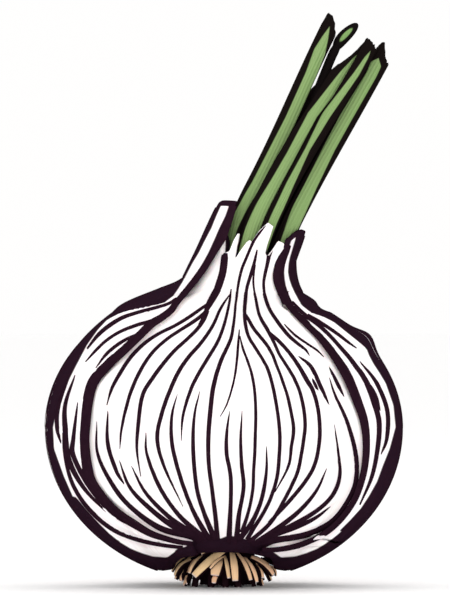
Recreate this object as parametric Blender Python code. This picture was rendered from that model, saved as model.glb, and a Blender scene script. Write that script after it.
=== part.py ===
"""A garlic bulb with its cut green top, standing on its trimmed roots.

Units are metres and +Z is up. The front view looks along +Y, with +X to its right. The origin is
the middle of the flat end of the root tuft. An azimuth is an angle round an upright axis, zero at
the front and growing to the right.
"""

import math
import random
from collections import namedtuple

import bmesh
import bpy
from mathutils import Vector

MM = 0.001
WELD_DISTANCE = 0.001 * MM

# The body of the bulb: half an ellipse above its widest ring and half a deeper one below.
BULB_RADIUS = 31.2 * MM
WIDEST_HEIGHT = 28.8 * MM
RISE_TO_NECK = 24.8 * MM
DROP_TO_BASE = 26.6 * MM
BODY_ROWS = 24

# The hollow under the bulb that the root plate sits in, and the lift between the side cloves.
HOLLOW_DEPTH = 5.1 * MM
HOLLOW_FLAT_RADIUS = 6.0 * MM
HOLLOW_RIM_RADIUS = 12.0 * MM
ARCH_LIFT = 2.8 * MM
ARCH_INNER = (5.0 * MM, 9.0 * MM)
ARCH_OUTER = (11.0 * MM, 20.0 * MM)

# The neck and the line that it and the leaves follow: upright, then bent to a straight lean.
NECK_ROOT = WIDEST_HEIGHT + RISE_TO_NECK
NECK_SLIM_RADIUS = 6.1 * MM
NECK_FLARE = 2.8 * MM
NECK_FLARE_HEIGHT = 4.8 * MM
NECK_LEFT_SWELL = 1.3 * MM
NECK_FILLET_POWER = 5
NECK_OFFSET = 4.45 * MM
NECK_OFFSET_SPAN = (50.5 * MM, 54.5 * MM)
LEAN = math.radians(27.3)
BEND_START = 50.0 * MM
BEND_END = 70.0 * MM
BEND_RADIUS = (BEND_END - BEND_START) / math.sin(LEAN)
NECK_ROWS = 3

# The open top of the neck, which the leaves stand in. Its edge is (azimuth, height) points.
MOUTH_EDGE = (
    (-180, 61.5), (-160, 63.6), (-142, 60.4), (-124, 62.8), (-108, 60.8), (-90, 61.6), (-68, 61.0),
    (-52, 59.4), (-37, 62.8), (-28, 58.4), (-19, 62.0), (-8, 60.2), (5, 66.2), (20, 60.6),
    (36, 65.2), (52, 62.0), (75, 65.0), (96, 63.0), (112, 65.2), (132, 62.2), (152, 64.4),
    (180, 61.5),
)
SOCKET_FLOOR = 54.0 * MM
SOCKET_ROWS = 3
SOCKET_CLEARANCE = 0.38 * MM
SOCKET_WALL = 0.62 * MM

# Relief of the skin: a groove along each vein from base to neck, and creases where cloves meet.
# The veins of the front are listed, and those of the sides and back follow evenly.
FRONT_VEINS = (
    -69, -63, -57.5, -52, -45.5, -40.5, -35.5, -29, -22, -17.5, -14, -9.5, -4.5, 1.3,
    5.8, 10.5, 17.5, 22.5, 27, 32.5, 39, 46, 53, 62, 69.5,
)
FAR_VEINS = 33
VEIN_DEPTH = 0.6 * MM
CREASE_DEPTH = 1.2 * MM
CREASE_WIDTH = math.radians(6.5)
CREASES = tuple(math.radians(a) for a in (-150, -101, -52, 53, 99, 141, 184))

# The two outer sheaths lie on the bulb with a narrow gap under them.
SHEATH_THICKNESS = 0.65 * MM
SHEATH_RIB_DEPTH = 0.35 * MM
Sheath = namedtuple("Sheath", "name front_edge back_edge lift top point start columns neck_rows")

# The leaves stand in a round bundle. Each is a channel with its keel turned outwards.
BUNDLE_RADIUS = 6.35 * MM
BUNDLE_SQUEEZE = 0.84
SQUEEZED_TO = 57.5 * MM
FULL_FROM = 67.0 * MM
LEAF_FOOT = SOCKET_FLOOR + 0.5 * MM
LEAF_THICKNESS = 0.8 * MM
LEAF_HALF_ARC = math.radians(100)
LEAF_COLUMNS = 7
LEAF_ROWS = 12
FLARE_START = 72.0 * MM
Leaf = namedtuple("Leaf", "name place keel radius top flare peak drop tear")

# The young shoot in the middle of the leaves. Its path is (height, across) points.
SHOOT_PATH = ((75, -1.2), (85, -1.9), (92, -2.7), (97.5, -3.0), (102, -1.7))
SHOOT_DEPTH = 0.2 * MM
SHOOT_RADIUS = 0.62 * MM
SHOOT_TIP_RADIUS = 1.2 * MM
SHOOT_TOP = 102.0 * MM
SHOOT_COLUMNS = 8
SHOOT_ROWS = 14

# The root plate and its trimmed roots.
PLATE_PROFILE = ((5.0, 6.6), (5.7, 6.0), (5.3, 4.8), (4.3, 2.4), (4.0, -0.8))
PLATE_COLUMNS = 16
ROOT_SEED = 7
ROOT_COLUMNS = 5
ROOT_ROWS = 5
RootRing = namedtuple("RootRing", "count reach_radius end_height width")

IVORY = (0.94, 0.90, 0.87)
PALE_SHEATH = (0.95, 0.91, 0.90)
LEAF_GREEN = (0.20, 0.30, 0.10)
SHOOT_GREEN = (0.16, 0.26, 0.09)
ROOT_TAN = (0.75, 0.48, 0.24)


def smoothstep(low, high, value):
    """0 below low, 1 above high, and an even S between them."""
    share = min(max((value - low) / (high - low), 0.0), 1.0)
    return share * share * (3 - 2 * share)


def curve_value(points, place):
    """The value at place of a smooth curve through (place, value) points."""
    places = [p for p, _ in points]
    values = [v for _, v in points]
    last = len(points) - 1
    if place <= places[0]:
        return values[0]
    if place >= places[last]:
        return values[last]
    i = max(k for k in range(last) if places[k] <= place)

    def slope(k):
        a, b = max(k - 1, 0), min(k + 1, last)
        return (values[b] - values[a]) / (places[b] - places[a])

    span = places[i + 1] - places[i]
    t = (place - places[i]) / span
    near, far = 1 + 2 * t, 3 - 2 * t
    return (
        values[i] * near * (1 - t) ** 2
        + values[i + 1] * far * t * t
        + slope(i) * span * t * (1 - t) ** 2
        + slope(i + 1) * span * t * t * (t - 1)
    )


def angle_between(a, b):
    """The smaller angle between two azimuths."""
    return abs((a - b + math.pi) % (2 * math.pi) - math.pi)


def stem_point(height, across, depth):
    """A point beside the line that the neck and leaves follow. Across is to the right, square to
    that line, and depth is away from the front."""
    rise = min(max(height - BEND_START, 0.0), BEND_END - BEND_START)
    tilt = math.asin(rise / BEND_RADIUS)
    line_x = NECK_OFFSET * smoothstep(*NECK_OFFSET_SPAN, height)
    line_x += BEND_RADIUS * (1 - math.cos(tilt))
    line_x += max(height - BEND_END, 0.0) * math.tan(LEAN)
    return Vector((line_x + across * math.cos(tilt), depth, height - across * math.sin(tilt)))


def squeeze(height):
    """How much narrower the bundle of leaves is inside the neck."""
    return BUNDLE_SQUEEZE + (1 - BUNDLE_SQUEEZE) * smoothstep(SQUEEZED_TO, FULL_FROM, height)


def socket_radius(height):
    return BUNDLE_RADIUS * squeeze(height) + SOCKET_CLEARANCE


def neck_radius(height, azimuth):
    """The neck flares towards the bulb and is fuller on the left. Its edge hugs the leaves."""
    above = max(height - NECK_ROOT, 0.0)
    swell = NECK_LEFT_SWELL * max(-math.sin(azimuth), 0.0) ** 2
    flared = NECK_SLIM_RADIUS + NECK_FLARE * math.exp(-above / NECK_FLARE_HEIGHT) + swell
    return max(flared, socket_radius(height) + SOCKET_WALL)


def ring(climb, azimuth, top):
    """(radius, height) of the smooth skin. Climb is 0 at the base, 0.5 at the widest ring, 1 at
    the root of the neck and 2 at the height top."""
    if climb > 1:
        height = NECK_ROOT + (climb - 1) * (top - NECK_ROOT)
        return neck_radius(height, azimuth), height
    angle = math.pi * (climb - 0.5)
    radius = BULB_RADIUS * abs(math.cos(angle))
    if angle > 0:
        height = WIDEST_HEIGHT + RISE_TO_NECK * math.sin(angle)
        power = NECK_FILLET_POWER
        both = radius**power + neck_radius(height, azimuth) ** power
        return both ** (1 / power), height
    height = WIDEST_HEIGHT + DROP_TO_BASE * math.sin(angle)
    height += HOLLOW_DEPTH * (1 - smoothstep(HOLLOW_FLAT_RADIUS, HOLLOW_RIM_RADIUS, radius))
    arch = smoothstep(*ARCH_INNER, radius) * (1 - smoothstep(*ARCH_OUTER, radius))
    return radius, height + ARCH_LIFT * arch * math.cos(azimuth) ** 2


def crease(azimuth, climb):
    """How far the skin dips where two cloves meet. It fades out at the base and the neck."""
    dip = sum(math.exp(-((angle_between(azimuth, c) / CREASE_WIDTH) ** 2)) for c in CREASES)
    return CREASE_DEPTH * dip * smoothstep(0.1, 0.3, climb) * (1 - smoothstep(0.8, 0.98, climb))


def skin_point(azimuth, climb, lift, top):
    """A point lift outside the smooth skin, which it follows into the creases."""
    radius, height = ring(climb, azimuth, top)
    step = 0.002
    low, high = ring(climb - step, azimuth, top), ring(climb + step, azimuth, top)
    tangent = Vector((high[0] - low[0], high[1] - low[1]))
    if climb > step:
        out = Vector((tangent.y, -tangent.x)).normalized()
    else:
        out = Vector((0.0, -1.0))
    lift -= crease(azimuth, climb)
    radius = max(radius + lift * out.x, 0.0)
    height += lift * out.y
    return stem_point(height, radius * math.sin(azimuth), -radius * math.cos(azimuth))


def material(name, colour, roughness):
    made = bpy.data.materials.new(name)
    made.use_nodes = True
    shader = made.node_tree.nodes["Principled BSDF"]
    shader.inputs["Base Color"].default_value = (*colour, 1)
    shader.inputs["Roughness"].default_value = roughness
    shader.inputs["Metallic"].default_value = 0.0
    return made


def shaped_grid(columns, rows, place):
    """A bmesh grid with each vertex moved to place(u, v), where u and v run from 0 to 1."""
    shape = bmesh.new()
    bmesh.ops.create_grid(shape, x_segments=columns, y_segments=rows, size=0.5)
    for vertex in shape.verts:
        vertex.co = place(vertex.co.x + 0.5, vertex.co.y + 0.5)
    return shape


def closed_grid(columns, rows, place):
    """A shaped grid whose sides meet and whose ends draw in to a point each."""
    shape = shaped_grid(columns, rows, place)
    bmesh.ops.remove_doubles(shape, verts=shape.verts[:], dist=WELD_DISTANCE)
    bmesh.ops.recalc_face_normals(shape, faces=shape.faces[:])
    return shape


def add_object(name, shape, finish):
    mesh = bpy.data.meshes.new(name)
    shape.to_mesh(mesh)
    shape.free()
    mesh.shade_smooth()
    mesh.set_sharp_from_angle(angle=math.radians(60))
    made = bpy.data.objects.new(name, mesh)
    made.data.materials.append(finish)
    bpy.context.scene.collection.objects.link(made)
    return made


def give_thickness(piece, thickness):
    """Thickens an open sheet inwards, away from the side that its faces point to."""
    solidify = piece.modifiers.new("Thickness", "SOLIDIFY")
    solidify.thickness = thickness
    solidify.offset = -1
    return piece


def groove_depth(depth, climb):
    """Grooves start at the roots and are shallower on the narrow neck."""
    return depth * smoothstep(0.0, 0.2, climb) * (1 - 0.65 * smoothstep(0.75, 1.0, climb))


def vein_azimuths():
    """The veins right round the bulb, in order from the first on the left of the front."""
    gap = (360 + FRONT_VEINS[0] - FRONT_VEINS[-1]) / (FAR_VEINS + 1)
    far = [FRONT_VEINS[-1] + gap * (k + 1 + 0.2 * math.sin(2.4 * k)) for k in range(FAR_VEINS)]
    return [math.radians(a) for a in (*FRONT_VEINS, *far)]


def make_bulb(finish):
    """The clove body and neck, with the socket for the leaves, as one closed skin."""
    veins = vein_azimuths()
    veins.append(veins[0] + 2 * math.pi)
    columns = 2 * (len(veins) - 1)
    rows = BODY_ROWS + NECK_ROWS + SOCKET_ROWS + 2

    def place(u, v):
        vein, between = divmod(round(u * columns), 2)
        azimuth = (veins[vein] + veins[vein + between]) / 2
        row = round(v * rows)
        turn = math.degrees(azimuth + math.pi) % 360 - 180
        top = curve_value(MOUTH_EDGE, turn) * MM
        if row <= BODY_ROWS + NECK_ROWS:
            climb = row / BODY_ROWS
            if row > BODY_ROWS:
                climb = 1 + (row - BODY_ROWS) / NECK_ROWS
            groove = (1 - between) * groove_depth(VEIN_DEPTH, climb)
            return skin_point(azimuth, climb, -groove, top)
        down = (row - BODY_ROWS - NECK_ROWS - 1) / SOCKET_ROWS
        height = top + min(down, 1.0) * (SOCKET_FLOOR - top)
        radius = socket_radius(height) if down <= 1 else 0.0
        return stem_point(height, radius * math.sin(azimuth), -radius * math.cos(azimuth))

    return add_object("bulb", closed_grid(columns, rows, place), finish)


SHEATHS = (
    Sheath(
        name="outer_sheath_left",
        front_edge=((0.1, -46), (0.5, -52), (0.86, -38), (1.0, -50), (1.4, -55), (2.0, -42)),
        back_edge=((0.1, -150), (0.5, -163), (0.86, -160), (1.0, -140), (2.0, -118)),
        lift=((0.7, 1.35), (0.83, 1.9), (0.9, 2.3), (1.0, 2.5), (1.2, 2.6), (1.5, 2.3), (2.0, 1.8)),
        top=67.0 * MM,
        point=1.5 * MM,
        start=0.12,
        columns=20,
        neck_rows=5,
    ),
    Sheath(
        name="outer_sheath_right",
        front_edge=((0.1, 46), (0.35, 57), (0.5, 53), (0.86, 39), (1.0, 41), (1.5, 44), (2.0, 52)),
        back_edge=((0.1, 140), (0.5, 152), (0.86, 150), (1.0, 135), (2.0, 104)),
        lift=((0.8, 1.35), (1.1, 1.2), (2.0, 1.1)),
        top=68.0 * MM,
        point=5.0 * MM,
        start=0.12,
        columns=16,
        neck_rows=4,
    ),
)
CURL_AZIMUTH = math.radians(86)
CURL_CLIMB = 0.71
CURL_HEIGHT = 1.3 * MM
CURL_SPREAD = (math.radians(9), 0.028)


def shoulder_curl(azimuth, climb):
    """The torn bit of the right sheath that lifts off the shoulder."""
    away = angle_between(azimuth, CURL_AZIMUTH) / CURL_SPREAD[0]
    above = (climb - CURL_CLIMB) / CURL_SPREAD[1]
    return CURL_HEIGHT * math.exp(-away * away - above * above)


def make_sheath(sheath, finish):
    """One wrapper leaf, which lies on the skin and ends beside the neck."""
    body_rows = round(BODY_ROWS * (1 - sheath.start))
    rows = body_rows + sheath.neck_rows

    def place(u, v):
        row = round(v * rows)
        if row <= body_rows:
            climb = 1 - (body_rows - row) / BODY_ROWS
        else:
            climb = 1 + (row - body_rows) / sheath.neck_rows
        front = curve_value(sheath.front_edge, climb)
        back = curve_value(sheath.back_edge, climb)
        left, right = math.radians(min(front, back)), math.radians(max(front, back))
        azimuth = left + u * (right - left)
        top = sheath.top - sheath.point * abs(2 * u - 1) ** 1.5
        lift = curve_value(sheath.lift, climb) * MM + shoulder_curl(azimuth, climb)
        lift -= round(u * sheath.columns) % 2 * groove_depth(SHEATH_RIB_DEPTH, climb)
        return skin_point(azimuth, climb, lift, top)

    shape = shaped_grid(sheath.columns, rows, place)
    return give_thickness(add_object(sheath.name, shape, finish), SHEATH_THICKNESS)


LEAVES = (
    Leaf("leaf_left", -86, -52, 2.0, 101.4, (-1.2, 0.0), -0.1, 5.5, 0.0),
    Leaf("leaf_front_left", -27, -10, 1.5, 99.4, (1.9, 1.0), 0.9, 3.2, 0.0),
    Leaf("leaf_front", 10, 8, 1.25, 100.2, (1.5, -0.3), -0.3, 1.4, 0.6),
    Leaf("leaf_right", 72, 44, 2.0, 101.2, (0.9, 0.2), -0.5, 1.6, 1.9),
    Leaf("leaf_back_right", 139, 140, 2.0, 97.0, (0.5, 0.6), 0.3, 2.4, 0.9),
    Leaf("leaf_back_left", 200, 205, 2.05, 90.5, (-0.3, 0.8), 0.2, 3.6, 0.0),
)
TEARS_ACROSS = 2


def make_leaf(leaf, finish):
    """One green leaf: a channel from inside the neck to its torn end."""
    from_middle = BUNDLE_RADIUS - leaf.radius * MM
    place_angle, keel = math.radians(leaf.place), math.radians(leaf.keel)
    middle = Vector((from_middle * math.sin(place_angle), -from_middle * math.cos(place_angle)))
    flare = Vector(leaf.flare) * MM

    def place(u, v):
        side = 2 * u - 1
        torn = leaf.tear * (0.5 - 0.5 * math.cos(2 * math.pi * TEARS_ACROSS * u))
        end = (leaf.top - leaf.drop * abs(side - leaf.peak) ** 1.3 - torn) * MM
        height = LEAF_FOOT + v * (end - LEAF_FOOT)
        loose = smoothstep(FLARE_START, leaf.top * MM, height)
        radius = leaf.radius * MM * squeeze(height) * (1 - 0.12 * loose)
        centre = middle * squeeze(height) + flare * loose
        turn = keel + side * LEAF_HALF_ARC
        across = centre.x + radius * math.sin(turn)
        return stem_point(height, across, centre.y - radius * math.cos(turn))

    shape = shaped_grid(LEAF_COLUMNS, LEAF_ROWS, place)
    return give_thickness(add_object(leaf.name, shape, finish), LEAF_THICKNESS)


def make_shoot(finish):
    """The young shoot: a thin stalk that swells to an oval end."""

    def place(u, v):
        row = round(v * SHOOT_ROWS)
        along = min(max((row - 1) / (SHOOT_ROWS - 2), 0.0), 1.0)
        height = LEAF_FOOT + along * (SHOOT_TOP - LEAF_FOOT)
        if row == 0:
            radius = 0.0
        elif along < 0.9:
            radius = SHOOT_RADIUS
        else:
            across_tip = (along - 0.9) / 0.1
            swell = math.sqrt(max(1 - (2 * across_tip - 1) ** 2, 0.0))
            radius = max(SHOOT_TIP_RADIUS * swell, SHOOT_RADIUS * (1 - across_tip))
        turn = 2 * math.pi * u
        across = curve_value(SHOOT_PATH, height / MM) * MM + radius * math.sin(turn)
        return stem_point(height, across, SHOOT_DEPTH - radius * math.cos(turn))

    return add_object("inner_shoot", closed_grid(SHOOT_COLUMNS, SHOOT_ROWS, place), finish)


ROOT_RINGS = (
    RootRing(count=18, reach_radius=9.6, end_height=1.4, width=1.0),
    RootRing(count=13, reach_radius=7.2, end_height=-0.8, width=0.95),
)


def root_shape(azimuth, reach, end_height, width, twist):
    """One root: it leaves the plate outwards, arches and comes down, widest at its middle."""
    start = Vector((4.2, 5.6)) * MM
    end = Vector((reach, end_height)) * MM
    shoulder = Vector((0.72 * reach + 0.6, 5.3)) * MM

    def place(u, v):
        row = round(v * ROOT_ROWS)
        along = min(max((row - 1) / (ROOT_ROWS - 2), 0.0), 1.0)
        line = start * (1 - along) ** 2 + shoulder * 2 * along * (1 - along) + end * along**2
        is_end = row in (0, ROOT_ROWS)
        half = 0.0 if is_end else width * MM * (0.62 + 0.38 * math.sin(math.pi * along))
        turn = 2 * math.pi * u
        swing = azimuth + twist * along
        outward = Vector((math.sin(swing), -math.cos(swing), 0.0))
        sideways = Vector((math.cos(swing), math.sin(swing), 0.0))
        centre = outward * line.x + Vector((0.0, 0.0, line.y))
        return centre + sideways * half * math.cos(turn) + outward * 0.6 * half * math.sin(turn)

    return closed_grid(ROOT_COLUMNS, ROOT_ROWS, place)


def make_root_tuft(finish):
    """The basal plate with its roots joined on, cut level where it stands."""
    profile = ((0.0, PLATE_PROFILE[0][1]), *PLATE_PROFILE, (0.0, PLATE_PROFILE[-1][1]))

    def place(u, v):
        radius, height = profile[len(profile) - 1 - round(v * (len(profile) - 1))]
        turn = 2 * math.pi * u
        return Vector((radius * math.sin(turn), -radius * math.cos(turn), height)) * MM

    plate = add_object("root_tuft", closed_grid(PLATE_COLUMNS, len(profile) - 1, place), finish)
    draw = random.Random(ROOT_SEED)
    roots = bpy.data.collections.new("roots")
    bpy.context.scene.collection.children.link(roots)
    for root_ring in ROOT_RINGS:
        for i in range(root_ring.count):
            azimuth = 2 * math.pi * (i + draw.uniform(-0.28, 0.28)) / root_ring.count
            reach = root_ring.reach_radius + draw.uniform(-0.6, 0.5)
            end_height = root_ring.end_height + draw.uniform(-0.7, 0.7) * (root_ring.end_height > 0)
            width = root_ring.width * draw.uniform(0.85, 1.15)
            twist = draw.uniform(-0.16, 0.16)
            root = add_object("root", root_shape(azimuth, reach, end_height, width, twist), finish)
            bpy.context.scene.collection.objects.unlink(root)
            roots.objects.link(root)
    join = plate.modifiers.new("Join roots", "BOOLEAN")
    join.operation = "UNION"
    join.operand_type = "COLLECTION"
    join.collection = roots
    join.solver = "MANIFOLD"

    ground = bmesh.new()
    bmesh.ops.create_cube(ground, size=0.04)
    bmesh.ops.translate(ground, verts=ground.verts[:], vec=(0, 0, -0.02))
    cutter = add_object("ground_cutter", ground, finish)
    cut = plate.modifiers.new("Cut level", "BOOLEAN")
    cut.operation = "DIFFERENCE"
    cut.object = cutter
    cut.solver = "MANIFOLD"

    bpy.context.view_layer.update()
    graph = bpy.context.evaluated_depsgraph_get()
    joined = bpy.data.meshes.new_from_object(plate.evaluated_get(graph))
    plate.modifiers.clear()
    plate.data = joined
    for helper in (*roots.objects, cutter):
        bpy.data.objects.remove(helper)
    bpy.data.collections.remove(roots)
    return plate


def main():
    for leftover in list(bpy.data.objects):
        bpy.data.objects.remove(leftover)
    skin = material("garlic skin", IVORY, 0.5)
    sheath_skin = material("dry sheath", PALE_SHEATH, 0.45)
    leaf_green = material("green leaf", LEAF_GREEN, 0.45)
    shoot_green = material("young shoot", SHOOT_GREEN, 0.45)
    root_tan = material("dry root", ROOT_TAN, 0.8)
    make_bulb(skin)
    for sheath in SHEATHS:
        make_sheath(sheath, sheath_skin)
    for leaf in LEAVES:
        make_leaf(leaf, leaf_green)
    make_shoot(shoot_green)
    make_root_tuft(root_tan)


main()
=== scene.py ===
"""The looks of the garlic bulb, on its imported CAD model.

Every length in this file is in millimetres until a mesh is made, and a mesh is in metres. The front
looks along +Y, with +X to its right. An azimuth is an angle round an upright axis, zero at the
front and growing to the right. A climb runs up the skin: 0 at the base, 0.5 at the widest ring, 1 at
the root of the neck and 2 at its open end.
"""

import math

import bmesh
import bpy
import numpy as np
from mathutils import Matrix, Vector
from mathutils.kdtree import KDTree


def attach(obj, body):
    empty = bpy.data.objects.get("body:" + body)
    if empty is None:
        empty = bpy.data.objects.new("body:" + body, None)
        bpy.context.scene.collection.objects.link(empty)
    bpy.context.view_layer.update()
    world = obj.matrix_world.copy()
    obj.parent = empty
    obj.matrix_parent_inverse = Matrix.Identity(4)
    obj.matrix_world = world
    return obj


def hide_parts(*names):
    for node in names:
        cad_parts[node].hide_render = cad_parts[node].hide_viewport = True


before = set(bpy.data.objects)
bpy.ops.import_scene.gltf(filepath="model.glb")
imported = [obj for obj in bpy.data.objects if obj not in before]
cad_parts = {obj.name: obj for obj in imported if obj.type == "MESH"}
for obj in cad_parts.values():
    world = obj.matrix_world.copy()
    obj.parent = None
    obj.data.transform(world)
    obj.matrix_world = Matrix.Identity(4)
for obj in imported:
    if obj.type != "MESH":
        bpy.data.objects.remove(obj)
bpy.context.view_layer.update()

# BULB
# The real piece is the body of cloves in its close white skins. They are papery leaf bases with
# raised dark veins, and they draw together into the neck, whose torn edge holds the green leaves.

MM = 0.001
BULB_RADIUS = 31.2
WIDEST_HEIGHT = 28.8
RISE_TO_NECK = 24.8
DROP_TO_BASE = 26.6
HOLLOW_DEPTH = 5.1
ARCH_LIFT = 2.8
NECK_ROOT = WIDEST_HEIGHT + RISE_TO_NECK
NECK_OFFSET = 4.45
LEAN = math.radians(27.3)
BEND_START = 50.0
BEND_END = 70.0
BEND_RADIUS = (BEND_END - BEND_START) / math.sin(LEAN)
BUNDLE_RADIUS = 6.35
SOCKET_FLOOR = 54.0
CREASE_DEPTH = 1.2
CREASE_WIDTH = math.radians(6.5)
CREASES = (-150, -101, -52, 53, 99, 141, 184)
# The torn edge of the neck: (azimuth in degrees, height).
MOUTH_EDGE = (
    (-180, 61.5), (-160, 63.6), (-142, 60.4), (-124, 62.8), (-108, 60.8), (-90, 61.6), (-66, 62.3),
    (-56, 61.5), (-50, 59.1), (-38.5, 60.0), (-38, 61.3), (-35.4, 62.8), (-33.8, 63.25),
    (-33, 62.5), (-31.8, 59.4), (-28, 58.9), (-25.6, 59.4), (-23.6, 60.4), (-17.8, 62.2),
    (-14, 62.6), (-11, 62.4), (-9.5, 62.9), (-4, 64.8), (3, 66.4), (12.5, 66.1), (13, 63.0),
    (14, 61.2), (20, 60.8), (24.5, 62.0), (28.3, 64.0), (38, 63.9), (40, 63.0), (52, 62.2),
    (75, 65.0), (96, 63.0), (112, 65.2), (132, 62.2), (152, 64.4), (180, 61.5),
)
BULB_COLUMNS = 300
BODY_ROWS = 170
NECK_ROWS = 40
SOCKET_ROWS = 8
# The upper edge of the dark base, its dried middle with painted shade under the bulb and along the
# lower outline: (distance from the middle, height).
BASE_DARK = (
    (3, 8.9), (5.5, 8.2), (7.5, 7.3), (10.4, 5.2), (13, 5.4), (15, 6.0), (17, 6.8), (19, 8.0),
    (21, 9.6), (23, 11.6), (25, 13.8), (27, 16.2),
)
UNDERSIDE_DARK = 12.8
BACK_DARK_HEIGHT = 7.5
# Painted shade in the crevice behind the left wrapper leaf's stub: its azimuth, and its reach in
# radians.
CREVICE_SHADE_PLACE = math.radians(-95)
CREVICE_SHADE_REACH = 0.4
PUFF = 0.45
PUFF_REACH = 1.2
FIBRE_RUN = 90

# A climb just below the open end, and how far the wrapper leaves stand out at the outline.
NEAR_END = 1.99
OUTLINE_LIFT = 1.35

# The columns of a raised line, as shares of half its width.
ACROSS = np.array((-1.0, -0.55, 0.0, 0.55, 1.0))

# The picture is looked at from this far away, with this (x, height) spot in its middle.
VIEW_DISTANCE = 1216.0
VIEW_MIDDLE = np.array((0.18, 52.2))

# The veins of the front: a width, then (azimuth on the outline, height) points from the top down.
FRONT_VEINS = (
    (0.8, ((29, 42), (33, 40), (35, 36), (37, 33))),
    (0.6, ((32, 38), (33.5, 35.5))),
    (0.9, ((39.5, 38), (40, 35), (44, 30), (49, 24), (52.5, 19), (52.5, 15), (50, 11.5),
           (40, 9.3), (25, 8.3))),
    (0.7, ((41, 40), (44, 34.5))),
    (0.8, ((38.5, 29.5), (41, 24), (43.5, 20), (43, 16.5), (38, 13.5), (28, 10.5), (22, 9.3))),
    (0.8, ((37, 21.5), (35, 17.5), (31, 14), (25, 11), (18, 8.5))),
    (0.7, ((44.5, 14.5), (40, 12.5), (33, 10.8), (25, 9.5))),
    (0.8, ((14, 25.5), (14.5, 21), (14, 16), (12, 12), (9, 9.5))),
    (0.8, ((2, 32), (1, 28), (1, 24), (2.5, 19), (2.5, 9))),
    (0.8, ((6, 32), (5.5, 27), (6, 22), (7, 18), (6, 13), (6, 9))),
    (0.8, ((-8, 35.5), (-9.5, 31), (-10, 25), (-9.5, 18), (-8, 14), (-5, 9.5))),
    (0.8, ((-15.5, 35), (-17, 31), (-17, 26), (-15, 20), (-12, 14), (-8, 9.5))),
    (0.8, ((-26, 28), (-26, 24), (-23, 18), (-18, 13), (-11, 9.5))),
    (0.8, ((-32.5, 22), (-29, 17), (-22, 12.5), (-13, 9.3))),
    (0.9, ((-37, 23), (-35, 18), (-29, 14), (-22, 11), (-14, 9.3))),
    (0.8, ((-41, 32), (-41, 26), (-39, 21), (-37, 18.5))),
    (0.9, ((-45.5, 30), (-46, 24), (-42, 18), (-37, 14), (-28, 10.5), (-15, 9))),
)
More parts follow.
